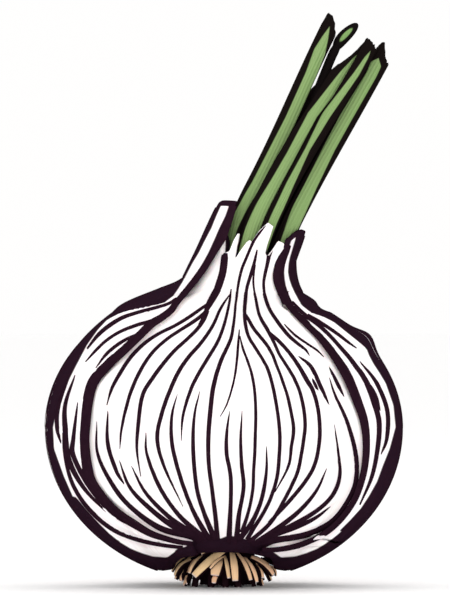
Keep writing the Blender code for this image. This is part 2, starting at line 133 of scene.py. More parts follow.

# The folds of the neck and the veins that run on from them, laid as dark lines; the broad bands beside
# the wrapper leaves' edges are partly painted shadow. (x, height, width) points of the drawn front from
# the top down.
NECK_FOLDS = (
    ((0.2, 61.2, 1.0), (0.1, 60, 1.75), (-0.05, 58.5, 1.8), (-0.3, 57, 1.8), (-0.75, 55.5, 1.8),
     (-1.3, 54, 1.75), (-2, 52.7, 1.7), (-2.7, 51.5, 1.6), (-3.1, 50.6, 1.2), (-3.6, 49.4, 0.8),
     (-4.6, 47.6, 0.5)),
    ((-3.2, 51.3, 0.7), (-4.5, 50.4, 0.8), (-6.5, 49, 0.85), (-9, 47.5, 0.8), (-12, 46, 0.8),
     (-14.5, 44.3, 0.9), (-17, 41.8, 0.95), (-19, 38.8, 0.95), (-20.5, 36, 0.8), (-21.4, 33, 0.2)),
    ((-2.9, 50.8, 0.7), (-3.6, 49.8, 0.9), (-5.5, 48.3, 0.9), (-8, 46.7, 0.8), (-10.5, 45, 0.8),
     (-13, 42.7, 0.85), (-15, 39.8, 0.9), (-16.8, 36, 0.9), (-18, 32, 0.8), (-18.8, 28, 0.6),
     (-19, 25, 0.2)),
    ((-2.9, 50.2, 0.6), (-3.6, 48.7, 0.9), (-4.8, 47, 0.9), (-6.8, 45, 0.85), (-9, 43, 0.9),
     (-11, 40.7, 0.95), (-13, 38, 1.0), (-14.8, 35, 1.0), (-15.6, 30, 1.0), (-15.9, 25, 0.7),
     (-15.2, 20, 0.2)),
    ((1.2, 53.4, 0.2), (0.2, 52, 0.5), (-0.8, 50.3, 0.7), (-1.8, 48, 0.8), (-3, 46, 0.85),
     (-4.5, 44, 0.9), (-6.3, 42, 0.95), (-8, 39.6, 1.0), (-9.4, 36.8, 1.0), (-11.2, 32, 1.0),
     (-12.2, 27, 1.0), (-11, 22, 0.8), (-7.5, 14.5, 0.2)),
    ((1.3, 54.2, 0.3), (1.0, 52, 0.6), (0.5, 49.5, 0.7), (-0.2, 47, 0.8), (-1.2, 44.5, 0.85),
     (-3, 41.5, 0.9), (-4.5, 39, 0.9), (-6, 36, 0.9), (-7.5, 31, 0.7), (-7.8, 26.5, 0.2)),
    ((7.5, 65.9, 0.6), (6.6, 64.7, 0.7), (5.5, 63.1, 0.7), (4.8, 61.6, 0.7), (4, 59.7, 0.7),
     (3.3, 58, 0.7), (2.9, 56.5, 0.7), (2.6, 55, 0.65), (2.35, 53.3, 0.6), (2.1, 51.5, 0.6),
     (1.95, 49.5, 0.65), (1.7, 47.5, 0.75), (1.2, 45, 0.85), (-0.6, 41, 1.0), (-1.8, 37, 1.1),
     (-2.4, 33, 1.15), (-2.85, 27, 1.1), (-2.75, 22, 1.0), (-2.1, 17, 1.0), (-1.5, 12, 1.1),
     (-1.2, 8.5, 1.3)),
    ((6.05, 61.4, 0.3), (5.8, 60.2, 0.6), (5.45, 58.7, 0.8), (5.05, 57.3, 0.9), (4.6, 55.9, 0.8),
     (4.2, 54.5, 0.8), (3.95, 53, 0.85), (3.8, 51.5, 0.9), (3.75, 50, 0.9), (3.9, 47.8, 0.85),
     (4.5, 45.5, 0.8), (5.7, 43.5, 0.8), (7.2, 41.1, 0.8), (8.1, 39.3, 0.85), (8.9, 36.4, 0.85),
     (9.5, 33.5, 0.85), (10, 29.9, 0.9), (10.2, 27, 0.9), (10.1, 24, 0.9), (9.7, 20, 0.9),
     (8.5, 16, 0.9), (7, 13, 0.9), (5.4, 10.5, 1.0), (4.2, 8.5, 1.1)),
    ((3.9, 49.8, 0.3), (4.4, 48.8, 0.8), (5.4, 47, 0.85), (6.6, 45.5, 0.85), (7.8, 44, 0.85),
     (8.8, 42.3, 0.8), (9.5, 40.5, 0.75), (10.4, 38.2, 0.75), (11.6, 34.6, 0.8), (12.3, 31.4, 0.85),
     (12.7, 28.5, 0.9), (12.3, 25.5, 0.85), (11.8, 22, 0.7), (9.3, 17.1, 0.2)),
    ((2.8, 46.8, 0.3), (2.6, 44.4, 0.6), (2.4, 41.7, 0.65), (2.0, 38.5, 0.55), (1.3, 35.5, 0.5),
     (0.4, 32.9, 0.4), (-0.7, 30.9, 0.2)),
    ((2.9, 45.6, 0.3), (3.5, 43.2, 0.6), (4.4, 40.8, 0.65), (5.1, 38.5, 0.7), (5.6, 35.5, 0.75),
     (5.8, 31.4, 0.8), (5.7, 27, 0.8), (5.6, 24, 0.8), (5.4, 21, 0.8), (5.3, 18, 0.8),
     (4.8, 15, 0.8), (4.1, 12.3, 0.85), (3.2, 9.8, 1.0)),
    ((5.75, 58.6, 0.2), (5.45, 57, 0.45), (5.35, 55.5, 0.5), (5.5, 54, 0.5), (5.75, 52.5, 0.6),
     (6.05, 51, 0.7), (6.4, 49.6, 0.75), (6.95, 48.4, 0.85), (7.8, 47, 0.95), (9, 44.7, 0.8),
     (10.1, 42.3, 0.75), (11.3, 40.4, 0.8), (12.8, 37.9, 0.85), (13.9, 35.2, 0.85), (14.6, 32, 0.9),
     (14.8, 29, 0.9), (14.5, 26.4, 0.9), (14.1, 24, 0.9), (13.5, 21, 0.9), (12.2, 18, 0.9),
     (10.9, 15.5, 0.9), (9.4, 12.8, 0.95), (8, 11, 1.0), (6, 9.2, 1.0), (4.5, 8, 1.1)),
    ((8.2, 46.5, 0.3), (9, 45.6, 0.85), (10.1, 44.6, 0.9), (11.9, 42.6, 0.9), (13.6, 40.2, 1.0),
     (15.1, 37.6, 1.15), (16.3, 35.5, 1.0), (17.2, 32, 0.95), (17.5, 28.5, 0.95), (17.3, 25.5, 0.95),
     (16.5, 22, 0.95), (15, 19.3, 0.95), (12.2, 15.8, 0.95), (9.8, 13.2, 0.9), (8.2, 11.5, 0.8)),
    ((8.75, 62.7, 2.2), (8.4, 61.3, 1.45), (8.15, 60, 1.0), (7.85, 58.5, 0.85), (7.5, 57, 0.8),
     (7.25, 55.5, 0.7), (7.3, 54, 0.7), (7.5, 52.7, 0.75), (7.95, 51.3, 0.8), (8.6, 50, 0.85),
     (9.6, 48.5, 0.9), (10.7, 47, 0.9), (12, 45.5, 0.9), (13.5, 44.2, 0.8), (15, 43, 0.6),
     (15.6, 42, 0.2)),
    ((11, 47.8, 0.2), (12, 46.7, 0.5), (13.2, 45.6, 0.6), (15.5, 44, 0.55), (17, 43, 0.5),
     (18.2, 41.8, 0.2)),
)


def smoothstep(low, high, value):
    """0 below low, 1 above high, and an even S between them."""
    share = np.clip((value - low) / (high - low), 0.0, 1.0)
    return share * share * (3 - 2 * share)


def curve_value(points, place):
    """The values at place of a smooth curve through (place, value) points."""
    places, values = np.array(points, float).T
    order = np.arange(len(places))
    before, after = np.maximum(order - 1, 0), np.minimum(order + 1, len(places) - 1)
    slopes = (values[after] - values[before]) / (places[after] - places[before])
    place = np.clip(place, places[0], places[-1])
    i = np.clip(np.searchsorted(places, place, side="right") - 1, 0, len(places) - 2)
    span = places[i + 1] - places[i]
    t = (place - places[i]) / span
    return (
        values[i] * (1 + 2 * t) * (1 - t) ** 2
        + values[i + 1] * (3 - 2 * t) * t * t
        + slopes[i] * span * t * (1 - t) ** 2
        + slopes[i + 1] * span * t * t * (t - 1)
    )


def half_turn(angle):
    """The same angle, between minus and plus half a turn."""
    return (angle + math.pi) % (2 * math.pi) - math.pi


def stem_point(height, across, depth):
    """Points beside the line that the neck and leaves follow. Across is to the right, square to
    that line, and depth is away from the front."""
    tilt = np.arcsin(np.clip(height - BEND_START, 0, BEND_END - BEND_START) / BEND_RADIUS)
    line_x = NECK_OFFSET * smoothstep(50.5, 54.5, height) + BEND_RADIUS * (1 - np.cos(tilt))
    line_x = line_x + np.maximum(height - BEND_END, 0) * math.tan(LEAN)
    x, z = line_x + across * np.cos(tilt), height - across * np.sin(tilt)
    return np.stack(np.broadcast_arrays(x, depth, z), axis=-1)


def squeeze(height):
    """How much narrower the bundle of leaves is inside the neck."""
    return 0.84 + 0.16 * smoothstep(57.5, 67.0, height)


def socket_radius(height):
    """The hole in the neck, a little wider than the bundle of leaves."""
    return BUNDLE_RADIUS * squeeze(height) + 0.38


def neck_radius(height, azimuth):
    """The neck flares towards the bulb and is fuller on the left. Its edge hugs the leaves."""
    above = np.maximum(height - NECK_ROOT, -2.0)
    swell = 2.0 * np.maximum(-np.sin(azimuth), 0.0) ** 2
    return np.maximum(6.1 + 2.8 * np.exp(-above / 4.8) + swell, socket_radius(height) + 0.62)


def ring(climb, azimuth, top):
    """(radius, height) of the smooth skin, whose open end is at the height top."""
    neck_height = NECK_ROOT + (climb - 1) * (top - NECK_ROOT)
    angle = math.pi * (np.minimum(climb, 1.0) - 0.5)
    radius = BULB_RADIUS * np.abs(np.cos(angle))
    high = WIDEST_HEIGHT + RISE_TO_NECK * np.sin(angle)
    shoulder = (radius**5 + neck_radius(high, azimuth) ** 5) ** 0.2
    low = WIDEST_HEIGHT + DROP_TO_BASE * np.sin(angle)
    low = low + HOLLOW_DEPTH * (1 - smoothstep(6, 12, radius))
    arch = smoothstep(5, 9, radius) * (1 - smoothstep(11, 20, radius))
    low = low + ARCH_LIFT * arch * np.cos(azimuth) ** 2
    on_neck, above = climb > 1, angle > 0
    wide = np.where(on_neck, neck_radius(neck_height, azimuth), np.where(above, shoulder, radius))
    return wide, np.where(on_neck, neck_height, np.where(above, high, low))


def crease(azimuth, climb):
    """How far the skin dips where two cloves meet."""
    dip = 0.0
    for place in CREASES:
        dip = dip + np.exp(-((half_turn(azimuth - math.radians(place)) / CREASE_WIDTH) ** 2))
    return CREASE_DEPTH * dip * smoothstep(0.1, 0.3, climb) * (1 - smoothstep(0.8, 0.98, climb))


def skin_point(azimuth, climb, lift, top):
    """Points lift outside the smooth skin, which they follow into the creases. The direction that
    they are lifted in turns gently at the root of the neck, so that no lifted skin folds there."""
    radius, height = ring(climb, azimuth, top)
    reach = 0.002 + 0.1 * smoothstep(0.72, 0.9, climb) * (1 - smoothstep(1.05, 1.4, climb))
    low, high = ring(climb - reach, azimuth, top), ring(climb + reach, azimuth, top)
    wider, higher = high[0] - low[0], high[1] - low[1]
    length = np.hypot(wider, higher)
    out_wide = np.where(climb > 0.002, higher / length, 0.0)
    out_high = np.where(climb > 0.002, -wider / length, -1.0)
    lift = lift - crease(azimuth, climb)
    radius = np.maximum(radius + lift * out_wide, 0.0)
    return stem_point(height + lift * out_high, radius * np.sin(azimuth), -radius * np.cos(azimuth))


def even_climb(climb):
    """The climb spread evenly over the shoulder, where it would bunch up below the neck."""
    rest = np.maximum(1 - climb, 0.0)
    return np.where(climb < 1, 1 - np.sqrt(0.918 * rest * rest + 0.082 * rest), climb)


def mouth_height(azimuth):
    """The height of the neck's torn edge."""
    return np.interp(np.degrees(azimuth + math.pi) % 360 - 180, *zip(*MOUTH_EDGE))


def bulb_surface(azimuth, climb, lift):
    """Points lift outside the bulb's smooth skin, with the climb spread evenly."""
    return skin_point(azimuth, even_climb(climb), lift, mouth_height(azimuth))


def seen(points):
    """Where points show in the front view, as (x, z) on the plane through the middle of the bulb."""
    nearer = VIEW_DISTANCE / (VIEW_DISTANCE + points[..., 1:2])
    return VIEW_MIDDLE + (points[..., (0, 2)] - VIEW_MIDDLE) * nearer


def on_surface(surface, drawn, azimuth, climb):
    """The (azimuth, climb) spots of a surface that show at the drawn (x, height) places, found in
    short steps from a first guess, and whether each is right within 0.05 mm."""
    step = 0.001
    least_area = 20.0
    for _ in range(60):
        here = seen(surface(azimuth, climb, 0.0))
        turned = (seen(surface(azimuth + step, climb, 0.0)) - here) / step
        climbed = (seen(surface(azimuth, climb + step, 0.0)) - here) / step
        miss = drawn - here
        area = turned[..., 0] * climbed[..., 1] - turned[..., 1] * climbed[..., 0]
        area = np.where(np.abs(area) < least_area, np.copysign(least_area, area), area)
        turn = (miss[..., 0] * climbed[..., 1] - miss[..., 1] * climbed[..., 0]) / area
        rise = (turned[..., 0] * miss[..., 1] - turned[..., 1] * miss[..., 0]) / area
        azimuth = np.clip(azimuth + np.clip(0.6 * turn, -0.08, 0.08), -1.5, 1.5)
        climb = np.clip(climb + np.clip(0.6 * rise, -0.03, 0.03), 0.1, NEAR_END)
    return np.stack((azimuth, climb), axis=-1), np.hypot(*np.moveaxis(miss, -1, 0)) < 0.05


def drawn_band(surface, points, offsets):
    """A band drawn along (x, height, width) points, as spots on a surface and widths. Its columns
    lie at these shares of the width to the side. A place that doesn't show is filled in."""
    drawn, turn, widths = drawn_line(points)
    run = np.gradient(drawn, axis=0)
    run = run / np.linalg.norm(run, axis=1, keepdims=True)
    side = np.stack((-run[:, 1], run[:, 0]), axis=-1)
    places = drawn[:, None] + side[:, None] * (offsets * widths[:, None])[..., None]
    height = places[..., 1]
    up_body = 0.5 + np.arcsin(np.clip((height - WIDEST_HEIGHT) / RISE_TO_NECK, -0.85, 0.97)) / math.pi
    climb = np.where(height > 52, 0.93 + (height - 52) / 11, up_body)
    azimuth = turn[:, None] + 0 * climb
    order = np.arange(len(drawn))
    for _ in range(3):
        spots, good = on_surface(surface, places, azimuth, climb)
        for column in np.flatnonzero(good.any(axis=0)):
            found = good[:, column]
            for part in (0, 1):
                spots[:, column, part] = np.interp(order, order[found], spots[found, column, part])
        if good.all():
            break
        azimuth, climb = spots[..., 0], spots[..., 1]
    return spots, widths


def skin_edges(height):
    """The left and right edge of the whole bulb and its neck at each height of the front view."""
    climb = np.linspace(0.16, NEAR_END, 600)
    edges = []
    for side in (-1, 1):
        edge = seen(bulb_surface(side * math.pi / 2, climb, OUTLINE_LIFT))
        edges.append(np.interp(height, np.maximum.accumulate(edge[:, 1]), edge[:, 0]))
    return edges


def drawn_line(points):
    """A smooth drawn line through (x, height, width) points, as (x, height) places, the azimuths
    to start from and widths every 0.4 mm."""
    x, heights, widths = np.array(points, float).T
    steps = np.hypot(np.diff(x), np.diff(heights))
    along = np.concatenate(((0.0,), np.cumsum(steps)))
    places = np.linspace(0, along[-1], max(int(along[-1] / 0.4), 6))
    drawn = [curve_value(np.stack((along, v), axis=-1), places) for v in (x, heights)]
    left, right = skin_edges(drawn[1])
    turn = np.arcsin(np.clip((2 * drawn[0] - left - right) / (right - left), -0.97, 0.97))
    return np.stack(drawn, axis=-1), turn, np.interp(places, along, widths)


def folded(surface, folds):
    """Drawn folds as (spots on a surface, widths)."""
    return [drawn_band(surface, fold, ACROSS / 2) for fold in folds]


def upright_band(surface, azimuth, climb, widths):
    """A band along spots that run up a surface, as five columns of spots and widths."""
    around = np.linalg.norm(surface(azimuth + 0.001, climb, 0) - surface(azimuth, climb, 0), axis=-1)
    turn = azimuth[:, None] + ACROSS / 2 * (widths / (around / 0.001))[:, None]
    return np.stack((turn, climb[:, None] + 0 * turn), axis=-1), widths


def tapered(count, blunt_end):
    """Widths along a vein that runs out to a point, at its end too unless that is blunt."""
    t = np.linspace(0, 1, count)
    end = 1.0 if blunt_end else np.sqrt(np.clip((1 - t) / 0.35, 0.02, 1))
    return np.sqrt(np.clip(t / 0.35, 0.02, 1)) * end


def front_lines(surface, veins):
    """Drawn veins as (spots on a surface, widths). A vein that ends low down runs into the base."""
    lines = []
    for width, points in veins:
        turns, heights = np.array(points, float).T
        to_base = heights[-1] < 10
        if to_base:
            turns, heights = np.append(turns, 0.8 * turns[-1]), np.append(heights, heights[-1] - 1.0)
        left, right = skin_edges(heights)
        x = (left + right) / 2 + (right - left) / 2 * np.sin(np.radians(turns))
        points = np.stack((x, heights, 0 * x + 1.25 * width), axis=-1)
        place = np.linspace(0, len(points) - 1, 24)
        points = np.stack([curve_value(tuple(enumerate(v)), place) for v in points.T], axis=-1)
        points[:, 2] *= tapered(len(place), to_base)
        points[:, 2] *= 1 + 0.35 * smoothstep(15, 8.5, points[:, 1])
        lines.append(drawn_band(surface, points, ACROSS / 2))
    return lines


def add_grid(shape, points, finish=0, **values):
    """Adds a sheet of faces through a table of points in mm, with a value layer for each table."""
    rows, columns = points.shape[0] - 1, points.shape[1] - 1
    for name, table in values.items():
        kinds = shape.verts.layers.float_vector if table.ndim == 3 else shape.verts.layers.float
        if name not in kinds:
            kinds.new(name)
    grid = bmesh.ops.create_grid(shape, x_segments=columns, y_segments=rows, size=0.5)
    spots = np.array([vertex.co[:2] for vertex in grid["verts"]]) + 0.5
    row = np.rint(spots[:, 1] * rows).astype(int)
    column = np.rint(spots[:, 0] * columns).astype(int)
    for vertex, place in zip(grid["verts"], points[row, column] * MM):
        vertex.co = place
    for name, table in values.items():
        kinds = shape.verts.layers.float_vector if table.ndim == 3 else shape.verts.layers.float
        layer = kinds[name]
        for vertex, value in zip(grid["verts"], table[row, column]):
            vertex[layer] = value
    for vertex in grid["verts"]:
        for face in vertex.link_faces:
            face.material_index = finish
            face.smooth = True


def add_veins(shape, surface, lines, lift, finish=1):
    """Adds each vein as a thin domed line that lies on a surface, with its edges sunk in."""
    dome = np.array((-0.12, 0.08, 0.13, 0.08, -0.12))
    for spots, widths in lines:
        rise = lift + dome * np.minimum(widths[:, None], 1.0)
        add_grid(shape, surface(spots[..., 0], spots[..., 1], rise), finish)


def gap_to_veins(surface, lines, points):
    """How far each point is from the edge of the nearest vein."""
    bands = np.concatenate([surface(spots[..., 0], spots[..., 1], 0.0) for spots, _ in lines])
    places = bands[:, 2]
    halves = np.linalg.norm(bands[:, 4] - bands[:, 0], axis=-1) / 2
    tree = KDTree(len(places))
    for i, place in enumerate(places):
        tree.insert(place, i)
    tree.balance()
    gaps = [distance - halves[i] for _, i, distance in map(tree.find, points.reshape(-1, 3))]
    return np.maximum(np.array(gaps), 0.0).reshape(points.shape[:-1])


def bold_lines(surface, turns, low, high, width):
    """Broad veins that run the whole way from low to high, with narrow white gaps between."""
    lines = []
    for i, place in enumerate(turns):
        climb = np.linspace(high, low, int((high - low) * 150))
        wave = 0.008 * np.sin(climb * (5 + i % 3) + 2.1 * i)
        widths = width * (1 + 0.12 * np.sin(climb * 11 + 1.7 * i))
        lines.append(upright_band(surface, math.radians(place) + wave, climb, widths))
    return lines


def rule_lines(surface, seed, turns, low, high, width):
    """Veins where the picture shows none: long and short by turns, at these azimuths in degrees."""
    draw = np.random.default_rng(seed)
    lines = []
    for i, place in enumerate(turns):
        start = low + draw.uniform(0, 0.03) + (0.0 if i % 2 else draw.uniform(0.02, 0.2))
        end = high - draw.uniform(0, 0.06) - (draw.uniform(0.05, 0.3) if i % 3 == 1 else 0.0)
        climb = np.linspace(end, start, max(int((end - start) * 150), 8))
        wave = 0.012 * np.sin(climb * draw.uniform(5, 9) + draw.uniform(0, 6))
        widths = width * draw.uniform(0.8, 1.2) * tapered(len(climb), start < low + 0.03)
        lines.append(upright_band(surface, math.radians(place) + wave, climb, widths))
    return lines


def base_ink(points, azimuth):
    """How far inside the dark middle of the underside each point is: the dried base, with painted shade
    under the bulb and along its lower outline. It reaches as high as the drawn front shows, and less
    high at the back."""
    ragged = 0.5 * np.sin(azimuth * 23) + 0.3 * np.sin(azimuth * 41)
    by_radius = UNDERSIDE_DARK + 2 * ragged - np.hypot(points[..., 0], points[..., 1])
    shown = seen(points)
    across = np.abs(shown[..., 0])
    top = np.interp(across, *zip(*BASE_DARK)) + 0.4 * ragged * (across < 9)
    top = top + (BACK_DARK_HEIGHT - top) * smoothstep(91, 106, np.degrees(np.abs(half_turn(azimuth))))
    return np.where(points[..., 2] < 18, np.maximum(by_radius, top - shown[..., 1]), -1.0)


def fibre_places(across, along):
    """Where each point lies on the skin laid flat, in mm, for its fibres to follow."""
    return np.stack(np.broadcast_arrays(across, along, 0.0 * along), axis=-1)


def add_piece(name, shape, node, slot, *finishes):
    """The finished bmesh as a piece of the scene that stands for a CAD node."""
    mesh = bpy.data.meshes.new(name)
    shape.to_mesh(mesh)
    shape.free()
    piece = bpy.data.objects.new(name, mesh)
    for finish in finishes:
        mesh.materials.append(finish)
    bpy.context.scene.collection.objects.link(piece)
    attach(piece, "root")
    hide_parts(node)


def linear(code):
    """A #rrggbb colour as the linear values that a shader takes."""
    parts = [int(code[i : i + 2], 16) / 255 for i in (1, 3, 5)]
    return (*(p / 12.92 if p < 0.04045 else ((p + 0.055) / 1.055) ** 2.4 for p in parts), 1.0)


def start_material(name, roughness, shine):
    """A new material and its shader."""
    made = bpy.data.materials.new(name)
    made.use_nodes = True
    shader = made.node_tree.nodes["Principled BSDF"]
    shader.inputs["Roughness"].default_value = roughness
    shader.inputs["Specular IOR Level"].default_value = shine
    return made, shader


def node(finish, kind, inputs=(), **settings):
    """Adds one node. Inputs are (socket, value or another node's output) pairs."""
    made = finish.node_tree.nodes.new("ShaderNode" + kind)
    for key, value in settings.items():
        setattr(made, key, value)
    for socket, value in inputs:
        if isinstance(value, bpy.types.NodeSocket):
            finish.node_tree.links.new(value, made.inputs[socket])
        else:
            made.inputs[socket].default_value = value
    return made


def paint(finish, shader, ground, *coats):
    """Lays each coat, the share of it and its colour, over the ground colour of the shader."""
    colour = linear(ground)
    for share, coat in coats:
        layers = ((0, share), (6, colour), (7, linear(coat)))
        colour = node(finish, "Mix", layers, data_type="RGBA").outputs[2]
    finish.node_tree.links.new(colour, shader.inputs["Base Color"])


def fibre_grain(finish, across, along, detail):
    """Noise that is drawn out along the fibres, with this many spots to a millimetre each way."""
    place = node(finish, "Attribute", attribute_name="fibre").outputs["Vector"]
    scaled = node(finish, "Mapping", (("Vector", place), ("Scale", (across, along, 1.0))))
    noise = node(finish, "TexNoise", (("Vector", scaled.outputs[0]), ("Scale", 1.0), ("Detail", detail)))
    return noise.outputs[0]


def ink_share(finish, blur):
    """The share of dark paint at each spot, full where the mesh's dark value is above zero. That
    value marks the thing's own dark parts and its painted shade.
    """
    ink = node(finish, "Attribute", attribute_name="ink").outputs["Fac"]
    return node(finish, "MapRange", ((0, ink), (1, -blur), (2, blur))).outputs[0]


def emboss(finish, shader, grain, strength, depth):
    """Makes the grain a fine relief, depth metres high."""
    bump = node(finish, "Bump", (("Strength", strength), ("Distance", depth), ("Height", grain)))
    finish.node_tree.links.new(bump.outputs[0], shader.inputs["Normal"])


def skin_material(name, light, shade, tinge):
    """Papery skin, matt and faintly see-through: fine fibres up it and a faint tinge by each vein."""
    made, shader = start_material(name, 0.6, 0.0)
    fibre = fibre_grain(made, 1.5, 0.05, 5.0)
    cloud = fibre_grain(made, 0.11, 0.05, 2.0)
    fibres = node(made, "MapRange", ((0, fibre), (1, 0.42), (2, 0.68)))
    clouds = node(made, "MapRange", ((0, cloud), (1, 0.35), (2, 0.75)))
    gap = node(made, "Attribute", attribute_name="gap").outputs["Fac"]
    near = node(made, "MapRange", ((0, gap), (1, 0.0), (2, 0.7), (3, 0.45), (4, 0.0)))
    # The last coat is near black where the mesh's dark value says: dried dark parts, and painted shade
    # in the neck's hollow, the crevice, under the bulb and along the outline.
    paint(
        made, shader, light, (fibres.outputs[0], shade), (clouds.outputs[0], light),
        (near.outputs[0], tinge), (ink_share(made, 0.1), "#24141f"),
    )
    emboss(made, shader, fibre, 0.35, 0.0001)
    shader.inputs["Subsurface Weight"].default_value = 0.08
    shader.inputs["Subsurface Scale"].default_value = 0.002
    return made


garlic_skin = skin_material("garlic skin", "#fffaf8", "#f3e8e8", "#ecd9de")

# Dried vein, also laid as the bold bands at the wrapper leaves' front edges and the neck's folds, which
# are partly painted shadow: dull and near black, a little uneven in tone at 1 mm.
vein_and_shadow, vein_shader = start_material("dried vein and painted shadow", 0.8, 0.0)
place = node(vein_and_shadow, "TexCoord").outputs["Object"]
grain = node(vein_and_shadow, "TexNoise", (("Vector", place), ("Scale", 900.0), ("Detail", 3.0))).outputs[0]
paint(vein_and_shadow, vein_shader, "#1c0d17", (grain, "#2a1722"))
emboss(vein_and_shadow, vein_shader, grain, 0.3, 0.0001)

bulb_lines = front_lines(bulb_surface, FRONT_VEINS)
bulb_lines += rule_lines(bulb_surface, 11, np.arange(150, 212, 6.3), 0.17, 1.1, 1.05)
bulb_lines += rule_lines(bulb_surface, 12, np.arange(62, 278, 12), 0.9, 1.9, 1.1)
# The neck's folds as dark lines, partly painted shadow beside the wrapper leaves' edges.
bulb_lines += folded(bulb_surface, NECK_FOLDS)

azimuth = np.linspace(-math.pi, math.pi, BULB_COLUMNS + 1)[None, :]
climb = np.concatenate((
    np.linspace(0, 1, BODY_ROWS + 1), np.linspace(1, 2, NECK_ROWS + 1)[1:],
))[:, None]
smooth_skin = bulb_surface(azimuth, climb, 0.0)
gap = gap_to_veins(bulb_surface, bulb_lines, smooth_skin)
puff = PUFF * (1 - np.exp(-((gap / PUFF_REACH) ** 1.5)))
puff = puff * smoothstep(0.06, 0.2, climb) * (1 - 0.7 * smoothstep(0.9, 1.3, climb))
skin = bulb_surface(azimuth, climb, puff)
top = mouth_height(azimuth)
down = np.linspace(0, 1, SOCKET_ROWS + 1)[:, None]
socket_height = top + down * (SOCKET_FLOOR - top)
socket_wide = socket_radius(socket_height)
socket = stem_point(socket_height, socket_wide * np.sin(azimuth), -socket_wide * np.cos(azimuth))
floor = stem_point(SOCKET_FLOOR + 0.0 * azimuth, 0.0 * azimuth, 0.0 * azimuth)
skin = np.concatenate((skin, socket, floor))
inside = len(skin) - len(climb)
# The underside is painted dark: its dried middle, and painted shade under the bulb and along the lower
# outline.
ink = base_ink(skin, azimuth)
# Painted shade: the neck's skin in the crevice behind the left wrapper leaf's stub is painted dark.
crevice_shade = 8 * (CREVICE_SHADE_REACH - np.abs(azimuth - CREVICE_SHADE_PLACE))
ink[:-inside] = np.maximum(ink[:-inside], np.where(climb > 1.1, crevice_shade, -1.0))
# The inside of the neck's hole and its floor are painted full dark, as painted shade in the hollow.
ink[-inside:] = 1.0
gap = np.concatenate((gap, np.ones((inside, BULB_COLUMNS + 1))))
up = np.concatenate((climb, 2 + 0.02 * np.arange(inside)[:, None]))
fibre = fibre_places(azimuth * BULB_RADIUS, up * FIBRE_RUN)

shape = bmesh.new()
add_grid(shape, skin, 0, gap=gap, ink=ink, fibre=fibre)
bmesh.ops.remove_doubles(shape, verts=shape.verts[:], dist=0.001 * MM)
add_veins(shape, bulb_surface, bulb_lines, 0.02)
bmesh.ops.recalc_face_normals(shape, faces=shape.faces[:])
add_piece("bulb_in_white_skin", shape, "bulb", "garlic_skin", garlic_skin, vein_and_shadow)

# LEFT OUTER SHEATH
# The real piece is the outermost dry wrapper leaf. It is a thin, pale, veined sheet that clasps the
# left side of the bulb, with a dark torn edge whose bold band is partly painted shadow, and ends in a
# cut stub beside the neck. Its outline and its inner face on the neck are painted dark as shade.

SHEATH_THICKNESS = 0.65
SHEATH_PUFF = 0.32
INNER_STEP = 6
# The bold dark front edge of this wrapper leaf, its torn edge with painted shadow, from the top down:
# (x, height, width).
LEFT_EDGE = (
    (2.1, 69.4, 1.2), (1.45, 67, 1.4), (0.75, 65, 1.5), (0.2, 63.4, 1.4), (-1.0, 61.5, 1.25),
    (-2.1, 59.7, 1.2), (-3.2, 58, 1.2), (-4.4, 56.3, 1.2), (-5.6, 54.7, 1.2), (-6.8, 53.2, 1.2),
    (-8.2, 51.6, 1.2), (-9.4, 50, 1.2), (-11.3, 48.5, 1.3), (-12.8, 47.5, 1.5), (-15.4, 45, 1.5),
    (-18, 42.5, 1.6), (-20.7, 40, 1.8), (-23.2, 37, 1.9), (-24.1, 34, 1.9), (-24.6, 30, 1.8),
    (-24.8, 26, 1.7), (-23.9, 20, 1.9), (-22.4, 17.3, 1.9), (-20.5, 15, 1.8), (-18.8, 13.5, 1.7),
    (-16.5, 12, 1.5), (-13.3, 10, 1.2), (-10.6, 9, 1.0), (-8, 8.3, 0.9), (-5.8, 8, 0.8),
)
LEFT_VEINS = (
    (1.0, ((-64, 38.5), (-64.5, 33), (-63, 28), (-63, 23), (-59, 18), (-52.5, 13.5))),
    (0.9, ((-56.5, 33.5), (-58, 27), (-59.5, 24), (-56, 19), (-53, 15))),
    (0.8, ((-69, 39), (-70, 33), (-69.5, 29), (-67, 26))),
)
LEFT_FOLDS = (
    ((-29.4, 28, 0.3), (-29.2, 25, 0.7), (-28.6, 21.5, 0.8), (-27.6, 18.5, 0.9), (-26, 15.7, 0.95),
     (-24, 13.3, 1.0), (-21.8, 11.3, 1.0), (-19, 9.6, 1.0), (-15, 8.2, 0.95), (-11, 7.4, 0.9),
     (-7.5, 7.0, 0.8)),
    ((-8.8, 52.5, 0.4), (-10, 51.6, 0.7), (-12.5, 50.8, 0.75), (-15.5, 50, 0.8), (-18.5, 49, 0.9),
     (-21, 47.5, 1.0), (-23, 45.8, 0.9), (-25, 43.3, 0.4)),
    ((-11.5, 49.4, 0.6), (-13, 48.5, 0.8), (-16, 47.6, 0.8), (-19, 46.4, 0.75), (-21.5, 44.8, 0.7),
     (-23.5, 42.9, 0.65), (-25.3, 40.9, 0.2)),
    ((-15.5, 46, 0.7), (-17.5, 45.2, 0.7), (-19.5, 44, 0.8), (-21.5, 42.3, 0.75), (-23.4, 39.8, 0.2)),
)

